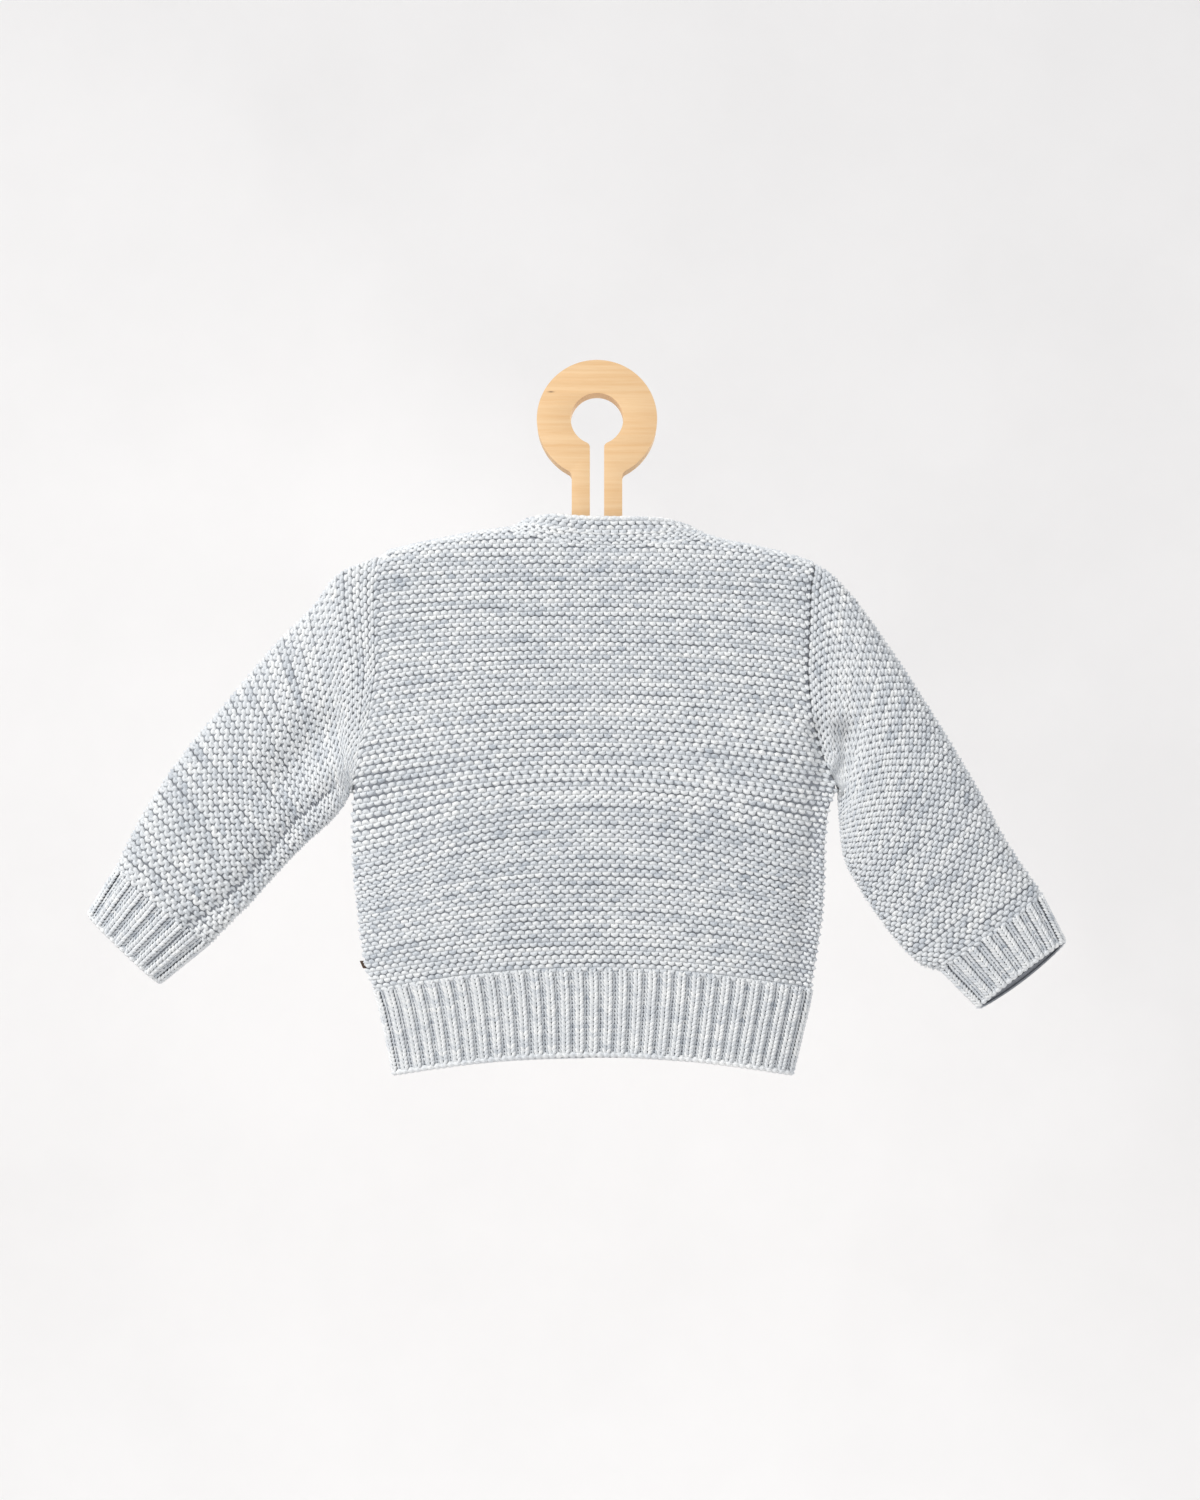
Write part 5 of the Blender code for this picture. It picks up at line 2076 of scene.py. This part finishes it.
    def build(self) -> None:
        """Makes both sleeves and cuffs."""
        left = SleeveForm(self.form, Side.LEFT, self.left_upper, self.left_lower, self.left_mouth)
        edges = (self.right_upper, self.right_lower, self.right_mouth)
        right = SleeveForm(self.form, Side.RIGHT, *edges, mouth_bow=self.right_bow)
        seam = Crease(self.left_seam, depth=0.0010, width=self.seam_width)
        hollow = Crease(self.left_seam, depth=0.0024, width=0.0060)
        elbow = Crease(self.left_elbow_fold, depth=0.0065, width=0.0130)
        pocket = Crease(self.right_pocket, depth=0.0090, width=0.0066, kept=0.0002)
        cut = Cut.tapered(*self.stitches, self.ridges)
        self.sleeve("left_sleeve", left, (seam, hollow, elbow), cut)
        self.sleeve("right_sleeve", right, (pocket, ARMPIT_FOLD), cut)
        fold = Crease(self.left_cuff_fold, depth=0.0016, width=0.0007)
        self.cuff("left_cuff", left, (fold,), Cut(0.125, 0.035))
        self.cuff("right_cuff", right, (), Cut(0.135, 0.035))


@dataclass
class NeckAndBands:
    """The neckband and the two front bands."""

    form: BodyForm
    body: Body
    loom: Loom
    neck_stitches: int = 66
    neck_ridges: int = 2
    neck_grid: tuple[int, int] = (120, 5)
    band_ridges: int = 4
    band_stitches: int = 56
    band_pitch: float = 0.0045
    band_grid: tuple[int, int] = (34, 7)

    def build(self) -> None:
        """Makes the three bands."""
        neck = NeckbandForm(self.form, self.body.back, self.body.left_front, self.body.right_front)
        cloth = ClothFace.of(neck.place, rows=30, columns=400)
        lines = YarnLines()
        knit = GarterStitch(self.neck_ridges, seed=71)
        knit.knit(cloth, HEADS, lines)
        knit.knit(cloth, FEET, lines)
        bound_off = EdgeChain(at=0.93, lump=0.0044, height=-0.0009, swing=0.0003, thickness=0.95, seed=8)
        picked_up = EdgeChain(at=0.01, lump=0.0044, height=-0.0012, swing=0.0003, thickness=0.85, seed=9)
        bound_off.lay(cloth, lines)
        picked_up.lay(cloth, lines)
        u, v = (even(count) for count in self.neck_grid)
        count, rests_on = (self.neck_stitches, self.neck_ridges), ["back_panel_ground"]
        yarns, cut = {"stitches": lines}, Cut(0.300, 0.0102)
        self.loom.finish("neckband", Slot.BAND, yarns, neck.place, u, v, count, cut, rests_on)
        for name, lift in (("button_band", 0.0), ("buttonhole_band", self.form.lap)):
            self.band(name, BandForm(self.form, lift))

    def band(self, name: str, form: BandForm) -> None:
        """Makes a garter band whose ridges run down.

        Args:
            name: Its solid's name.
            form: Its form.
        """
        cloth = ClothFace.of(form.place, rows=60, columns=300, looks=Face.FRONT)
        lines = YarnLines()
        knit = GarterStitch(self.band_ridges, self.band_stitches, pitch=self.band_pitch, seed=len(name))
        knit.knit(cloth, PLAIN_HEADS, lines)
        knit.knit(cloth, PLAIN_FEET, lines)
        u, v = (even(count) for count in self.band_grid)
        count, rests_on = (self.band_stitches, self.band_ridges), ["left_front_ground", "right_front_ground"]
        yarns, cut = {"stitches": lines}, Cut(0.265, 0.018)
        self.loom.finish(name, Slot.BAND, yarns, form.place, u, v, count, cut, rests_on)


@dataclass
class Buttons:
    """Five small four-hole buttons down the front, sewn on with yarn."""

    form: BodyForm
    shell: Material
    thread: Material
    count: int = 5
    first_z: float = -0.1240
    pitch: float = 0.0590
    radius: float = 0.0065
    thickness: float = 0.0028
    rim: float = 0.0016
    dish: float = 0.0007
    hole: float = 0.00085
    hole_reach: float = 0.0014
    ridge: float = 0.0006
    clearance: float = 0.0003
    steps: int = 36
    sharp: float = 35.0
    turn: float = 0.4
    seed: int = 4
    thread_radius: float = 0.00055
    thread_sides: int = 8
    thread_tone: float = 0.7
    thread_seed: int = 3
    thread_reach: float = 0.75  # of the distance from the middle to a hole
    thread_rows: Rows = (
        (-1.35, -0.0026),
        (-1.2, -0.0004),
        (-0.6, 0.00035),
        (0.6, 0.00035),
        (1.2, -0.0004),
        (1.35, -0.0026),
    )

    def profile(self) -> tuple[tuple[float, float], ...]:
        """Half of the button's section: distance from its middle, and height."""
        r, t = self.radius, self.thickness
        return (
            (0.0, t - self.dish),
            (r - 2.2 * self.rim, t - self.dish),
            (r - 1.7 * self.rim, t - 0.8 * self.dish),
            (r - 1.2 * self.rim, t - 0.15 * self.dish),
            (r - 0.9 * self.rim, t),
            (r - 0.45 * self.rim, t - 0.00008),
            (r - 0.12 * self.rim, t - 0.0005),
            (r, t * 0.5),
            (r - 0.25 * self.rim, t * 0.22),
            (r - self.rim, 0.0),
            (0.0, 0.0),
        )

    def disc(self) -> Object:
        """One button, flat, with its four holes.

        Returns:
            The button, which every place on the band takes a copy of.
        """
        mesh = bmesh.new()
        verts = [mesh.verts.new((radius, 0, height)) for radius, height in self.profile()]
        for pair in zip(verts, verts[1:]):
            mesh.edges.new(pair)
        section = mesh.verts[:] + mesh.edges[:]
        bmesh.ops.spin(mesh, geom=section, axis=(0, 0, 1), cent=(0, 0, 0), steps=self.steps, angle=2 * pi)
        disc = linked("button_disc", finished(mesh, "button_disc", weld=WELD))
        mesh = bmesh.new()
        for quarter in range(4):
            turn = pi / 4 + quarter * pi / 2
            middle = (self.hole_reach * cos(turn), self.hole_reach * sin(turn), self.thickness / 2)
            size = {"segments": 12, "radius1": self.hole, "radius2": self.hole, "depth": 4 * self.thickness}
            bmesh.ops.create_cone(mesh, cap_ends=True, matrix=Matrix.Translation(middle), **size)
        drill = linked("holes", finished(mesh, "holes"))
        holes = disc.modifiers.new("holes", "BOOLEAN")
        holes.object = drill
        holes.solver = "EXACT"
        settle(disc)
        bpy.data.objects.remove(drill)
        shade(disc.data, self.sharp)
        return disc

    def places(self) -> Array:
        """Where the buttons lie.

        Returns:
            The middle of each one's back.
        """
        x = (self.form.band_left + self.form.band_right) / 2
        stand = self.form.lap + self.ridge + self.clearance
        reach = np.array([-self.radius, 0, self.radius])
        rows = []
        for k in range(self.count):
            z = self.first_z - k * self.pitch
            dx, dz = np.meshgrid(reach, reach)
            rows.append((x, self.form.band_y(x + dx, z + dz).max() + stand, z))
        return np.array(rows)

    def tree(self, disc: Object) -> NodeTree:
        """The node tree that sets a disc on every point, each turned a little on its own.

        Args:
            disc: The button.

        Returns:
            The tree.
        """
        tree = NodeTree("set_buttons")
        tree.size("Turn step", "NodeSocketFloat", self.turn)
        tree.size("Seed", "NodeSocketInt", self.seed)
        inputs = tree.start.outputs
        info = tree.node("GeometryNodeObjectInfo", {"Object": disc}, transform_space="ORIGINAL")
        points = tree.node("GeometryNodeMeshToPoints", {"Mesh": inputs["Geometry"]})
        chance = {"Seed": inputs["Seed"], 3: inputs["Turn step"]}
        spin = tree.node("FunctionNodeRandomValue", chance, data_type="FLOAT")
        upright = tree.node("ShaderNodeCombineXYZ", {0: -pi / 2, 1: 0.0, 2: 0.0})
        flat = tree.node("ShaderNodeCombineXYZ", {0: 0.0, 1: 0.0, 2: spin.outputs[1]})
        turned = tree.node("FunctionNodeRotateEuler", {0: flat.outputs[0], "Rotate By": upright.outputs[0]})
        laid = {"Points": points.outputs[0], "Instance": info.outputs["Geometry"]}
        set_out = tree.node("GeometryNodeInstanceOnPoints", {**laid, "Rotation": turned.outputs[0]})
        tree.finish(set_out.outputs[0], self.shell)
        return tree

    def build(self) -> None:
        """Makes the buttons, one at each place, and sews them on."""
        disc = self.disc()
        seats = bpy.data.meshes.new("button_seats")
        seats.from_pydata([tuple(place) for place in self.places()], [], [])
        piece = linked("buttons", seats)
        self.tree(disc).put_on(piece, {"Turn step": self.turn, "Seed": self.seed})
        settle(piece)
        bpy.data.objects.remove(disc)
        dress(piece, tuple(f"button_{k + 1}" for k in range(self.count)))
        self.sew()

    def sew(self) -> None:
        """Makes the yarn that crosses the buttons' holes."""
        lines = YarnLines()
        reach = self.hole_reach * self.thread_reach
        run, rise = np.array(self.thread_rows).T
        run = run * reach
        for x, y, z in self.places():
            top = y + self.thickness - self.dish
            for across in (-reach, reach):
                points = np.stack([x + across + 0 * run, top + rise, z + run], axis=-1)[None]
                outward = np.broadcast_to([0.0, 1.0, 0.0], points.shape)
                lines.add(points, outward, self.thread_tone, 1.0)
        spinner = YarnSpinner(self.thread, self.thread_radius, self.thread_sides, seed=self.thread_seed)
        dress(spinner.spin("button_threads", lines))


@dataclass
class SideTab:
    """A small bare tape, folded double and caught in the left side seam."""

    form: BodyForm
    tape: Material
    z: float = -0.3195
    height: float = 0.0042
    reach: float = 0.0007
    root: float = 0.0026
    slant: float = 0.45
    thickness: float = 0.0014
    ply: float = 0.00056
    fold_points: int = 9
    sharp: float = 40.0

    def build(self) -> None:
        """Makes the folded tape."""
        ends = np.array([self.z - self.height / 2, self.z, self.z + self.height / 2])
        seam = float(self.form.side_x(ends, Side.LEFT).min()) - self.form.seam_gap
        y = float(self.form.middle_y(np.array(self.z)))
        half = (self.thickness - self.ply) / 2
        end = seam - self.reach + self.ply / 2
        fold = [(end + half * (1 - sin(t)), half * cos(t)) for t in np.linspace(0, pi, self.fold_points)]
        path = [(seam + self.root, half)] + fold + [(seam + self.root, -half)]
        mesh = bmesh.new()
        rows = []
        for k, (x, off) in enumerate(path):
            before, after = path[max(k - 1, 0)], path[min(k + 1, len(path) - 1)]
            along = Vector((after[0] - before[0], after[1] - before[1])).normalized()
            across = Vector((-along.y, along.x)) * self.ply / 2
            corners = [
                (x + s * across.x + self.slant * (self.z - z), y + off + s * across.y, z)
                for s in (1, -1)
                for z in (ends[0], ends[2])
            ]
            rows.append([mesh.verts.new(corners[i]) for i in (0, 1, 3, 2)])
        for row, below in zip(rows, rows[1:]):
            for k in range(4):
                mesh.faces.new((row[k], row[(k + 1) % 4], below[(k + 1) % 4], below[k]))
        mesh.faces.new(rows[0])
        mesh.faces.new(rows[-1][::-1])
        data = finished(mesh, "side_tab_tape")
        data.materials.append(self.tape)
        piece = linked("side_tab_tape", data)
        soft = piece.modifiers.new("soft", "BEVEL")
        soft.width = self.ply / 4
        soft.segments = 2
        settle(piece)
        shade(piece.data, self.sharp)
        dress(piece, ("side_tab",))


@dataclass
class Hanger:
    """A flat plywood hanger: a ring with a round hole, a slot between two legs, and two arms."""

    body: BodyForm
    veneer: Material
    edge: Material
    plywood: float = 0.0120
    rounding: float = 0.0015
    rounding_steps: int = 4
    corner_angle: float = 60.0
    ring: float = 0.0337
    hole: float = 0.01475
    leg_half: float = 0.0141
    slot_half: float = 0.0040
    leg_fillet: float = 0.0040
    yoke_fillet: float = 0.0060
    keyhole_fillet: float = 0.0030
    slot_end: float = -0.0880
    yoke: float = -0.0815
    yoke_foot: float = -0.1060
    reach: float = 0.1090
    tip_half: float = 0.0070
    clearance: float = 0.0033
    ring_points: int = 44
    hole_points: int = 32
    corner_points: int = 10
    arm_points: int = 9
    tip_points: int = 20
    foot_points: int = 14
    face_slant: float = 0.80  # a face that leans further than this is part of the edge
    sharp: float = 40.0

    @staticmethod
    def arc(centre: tuple[float, float], radius: float, start: float, end: float, count: int) -> Outline:
        """Points of an arc, its ends included."""
        turns = np.linspace(start, end, count)
        return [(centre[0] + radius * cos(turn), centre[1] + radius * sin(turn)) for turn in turns]

    def neck_of_circle(self, radius: float, half: float, fillet: float, count: int) -> Outline:
        """A circle about the ring's middle, from its top down one side, faired into an upright line.

        Args:
            radius: Of the circle.
            half: Half of the width that it runs into.
            fillet: Radius of the fairing.
            count: Points on the circle.

        Returns:
            Points (x, height).
        """
        ring_z = -self.hole
        centre = (half + fillet, ring_z - sqrt((radius + fillet) ** 2 - (half + fillet) ** 2))
        turn = atan2(centre[1] - ring_z, centre[0])
        fairing = self.arc(centre, fillet, turn + pi, pi, self.corner_points)
        return self.arc((0, ring_z), radius, pi / 2, turn, count) + fairing[1:]

    def arm_top(self, x: float) -> float:
        """The upper edge of an arm, just under the cloth that it carries."""
        under_cloth = float(self.body.roof(np.array(x))) - self.body.wall - self.clearance
        return min(self.yoke, under_cloth / cos(self.body.lean))

    def outline(self, side: Side) -> Outline:
        """The outline from the top of the ring, down one side, to the foot of the yoke.

        Args:
            side: Which side.

        Returns:
            Points (x, height).
        """
        s = side.value
        tip_x = self.reach - self.tip_half
        tip_z = self.arm_top(s * tip_x) - self.tip_half
        points = self.neck_of_circle(self.ring, self.leg_half, self.leg_fillet, self.ring_points)
        corner = (self.leg_half + self.yoke_fillet, self.yoke + self.yoke_fillet)
        points += self.arc(corner, self.yoke_fillet, pi, 1.5 * pi, self.corner_points)
        points += [(x, self.arm_top(s * x)) for x in np.linspace(corner[0], tip_x, self.arm_points)[1:-1]]
        points += self.arc((tip_x, tip_z), self.tip_half, pi / 2, -pi / 2, self.tip_points)
        for share in np.linspace(0, 1, self.foot_points)[1:]:
            fall = (tip_z - self.tip_half - self.yoke_foot) * (1 - share) ** 2
            points.append((tip_x * (1 - share), self.yoke_foot + fall))
        return [(s * x, z) for x, z in points]

    def keyhole(self, side: Side) -> Outline:
        """The hole and the slot under it, down one side.

        Args:
            side: Which side.

        Returns:
            Points (x, height).
        """
        points = self.neck_of_circle(self.hole, self.slot_half, self.keyhole_fillet, self.hole_points)
        foot = (0, self.slot_end + self.slot_half)
        points += self.arc(foot, self.slot_half, 0, -pi / 2, self.corner_points)
        return [(side.value * x, z) for x, z in points]

    def build(self) -> None:
        """Makes the hanger."""
        curve = bpy.data.curves.new("hanger_outline", "CURVE")
        curve.dimensions = "2D"
        curve.fill_mode = "BOTH"
        curve.extrude = self.plywood / 2
        for half in (self.outline, self.keyhole):
            points = half(Side.RIGHT) + half(Side.LEFT)[-2:0:-1]
            spline = curve.splines.new("POLY")
            spline.points.add(len(points) - 1)
            for place, (x, z) in zip(spline.points, points):
                place.co = (x, z, 0, 1)
            spline.use_cyclic_u = True
        outline = linked("hanger_outline", curve)
        mesh = bmesh.new()
        mesh.from_mesh(evaluated(outline))
        bpy.data.objects.remove(outline)
        piece = linked("hanger_plate", finished(mesh, "hanger_plate", weld=WELD))
        rounding = piece.modifiers.new("rounded_edge", "BEVEL")
        rounding.width = self.rounding
        rounding.segments = self.rounding_steps
        rounding.limit_method = "ANGLE"
        rounding.angle_limit = radians(self.corner_angle)
        rounding.harden_normals = True
        settle(piece)
        data = piece.data
        data.materials.append(self.veneer)
        data.materials.append(self.edge)
        for face in data.polygons:
            face.material_index = int(abs(face.normal.z) < self.face_slant)
        data.transform(Matrix.Rotation(pi / 2 - self.body.lean, 4, "X"))
        shade(data, self.sharp)
        dress(piece, ("hanger",))


@dataclass(frozen=True)
class Lamp:
    """A round soft lamp."""

    name: str
    place: tuple[float, float, float]
    size: float
    power: float
    colour: Colour

    def hang(self, aim: Vector) -> None:
        """Hangs the lamp in its place, turned to a point.

        Args:
            aim: The point.
        """
        lamp = bpy.data.lights.new(self.name, "AREA")
        lamp.shape = "DISK"
        lamp.size = self.size
        lamp.energy = self.power
        lamp.color = self.colour
        source = linked(self.name, lamp)
        source.location = self.place
        source.rotation_euler = (aim - Vector(self.place)).to_track_quat("-Z", "Y").to_euler()


@dataclass
class Studio:
    """A plain pale floor with a far backdrop, soft light and the camera."""

    camera_x: float = 0.0017
    camera_z: float = -0.1996
    distance: float = 1.40
    cloth_y: float = -0.018
    view_width: float = 0.667
    sensor: float = 24.0
    floor_z: float = -1.90
    backdrop_y: float = 2.4
    sweep: float = 0.9
    sweep_points: int = 17
    half_width: float = 7.0
    height: float = 6.0
    room_colour: Colour = (0.955, 0.968, 0.99)
    room_light: float = 0.77
    lamps: tuple[Lamp, ...] = (
        Lamp("key", (-1.45, -1.20, 0.95), 0.7, 33.0, (1.0, 0.99, 0.975)),
        Lamp("fill", (1.6, -1.8, 0.1), 1.6, 4.0, (0.96, 0.98, 1.0)),
        Lamp("behind", (0.9, 1.7, 0.7), 1.2, 27.0, (1.0, 0.99, 0.97)),
    )

    def backdrop(self) -> None:
        """A floor that turns up into a far backdrop."""
        start, turns = self.backdrop_y - self.sweep, np.linspace(0, pi / 2, self.sweep_points)
        turn = [(start + self.sweep * sin(t), self.floor_z + self.sweep * (1 - cos(t))) for t in turns]
        line = [(-self.half_width, self.floor_z)] + turn + [(self.backdrop_y, self.floor_z + self.height)]
        verts = [(x, y, z) for y, z in line for x in (-self.half_width, self.half_width)]
        faces = [(2 * k, 2 * k + 1, 2 * k + 3, 2 * k + 2) for k in range(len(line) - 1)]
        data = bpy.data.meshes.new("studio_floor")
        data.from_pydata(verts, [], faces)
        data.shade_smooth()
        data.materials.append(StudioPaint().make())
        linked("studio_floor", data)

    def light(self) -> None:
        """Soft light from the upper left, a weak fill, and a pale room."""
        world = bpy.data.worlds.new("pale_room")
        bpy.context.scene.world = world
        world.use_nodes = True
        background = world.node_tree.nodes["Background"].inputs
        background["Color"].default_value = (*self.room_colour, 1)
        background["Strength"].default_value = self.room_light
        for lamp in self.lamps:
            lamp.hang(Vector((0, 0, self.camera_z)))

    def camera(self) -> None:
        """A level camera square to the garment's back. The picture is 1200 wide and 1500 high."""
        lens = bpy.data.cameras.new("camera")
        lens.sensor_fit = "HORIZONTAL"
        lens.sensor_width = self.sensor
        lens.lens = self.sensor * (self.distance + self.cloth_y) / self.view_width
        eye = linked("camera", lens)
        eye.location = (self.camera_x, -self.distance, self.camera_z)
        eye.rotation_euler = (pi / 2, 0, 0)
        bpy.context.scene.camera = eye

    def build(self) -> None:
        """Sets up the studio."""
        self.backdrop()
        self.light()
        self.camera()
        bpy.context.scene.view_settings.view_transform = "Standard"


def main() -> None:
    """Builds the whole cardigan, its hanger and the studio."""
    form = BodyForm()
    wool = HeatherWool().make()
    loom = Loom(YarnSpinner(wool), Ground(GroundWoolPaintedShade().make(), form))
    body = Body(form, loom)
    body.build()
    SleevePair(form, loom).build()
    NeckAndBands(form, body, loom).build()
    Buttons(form, ShellButton().make(), wool).build()
    SideTab(form, BrownTape().make()).build()
    Hanger(form, BirchVeneer().make(), PlywoodEdge().make()).build()
    Studio().build()


if __name__ == "__main__":
    main()
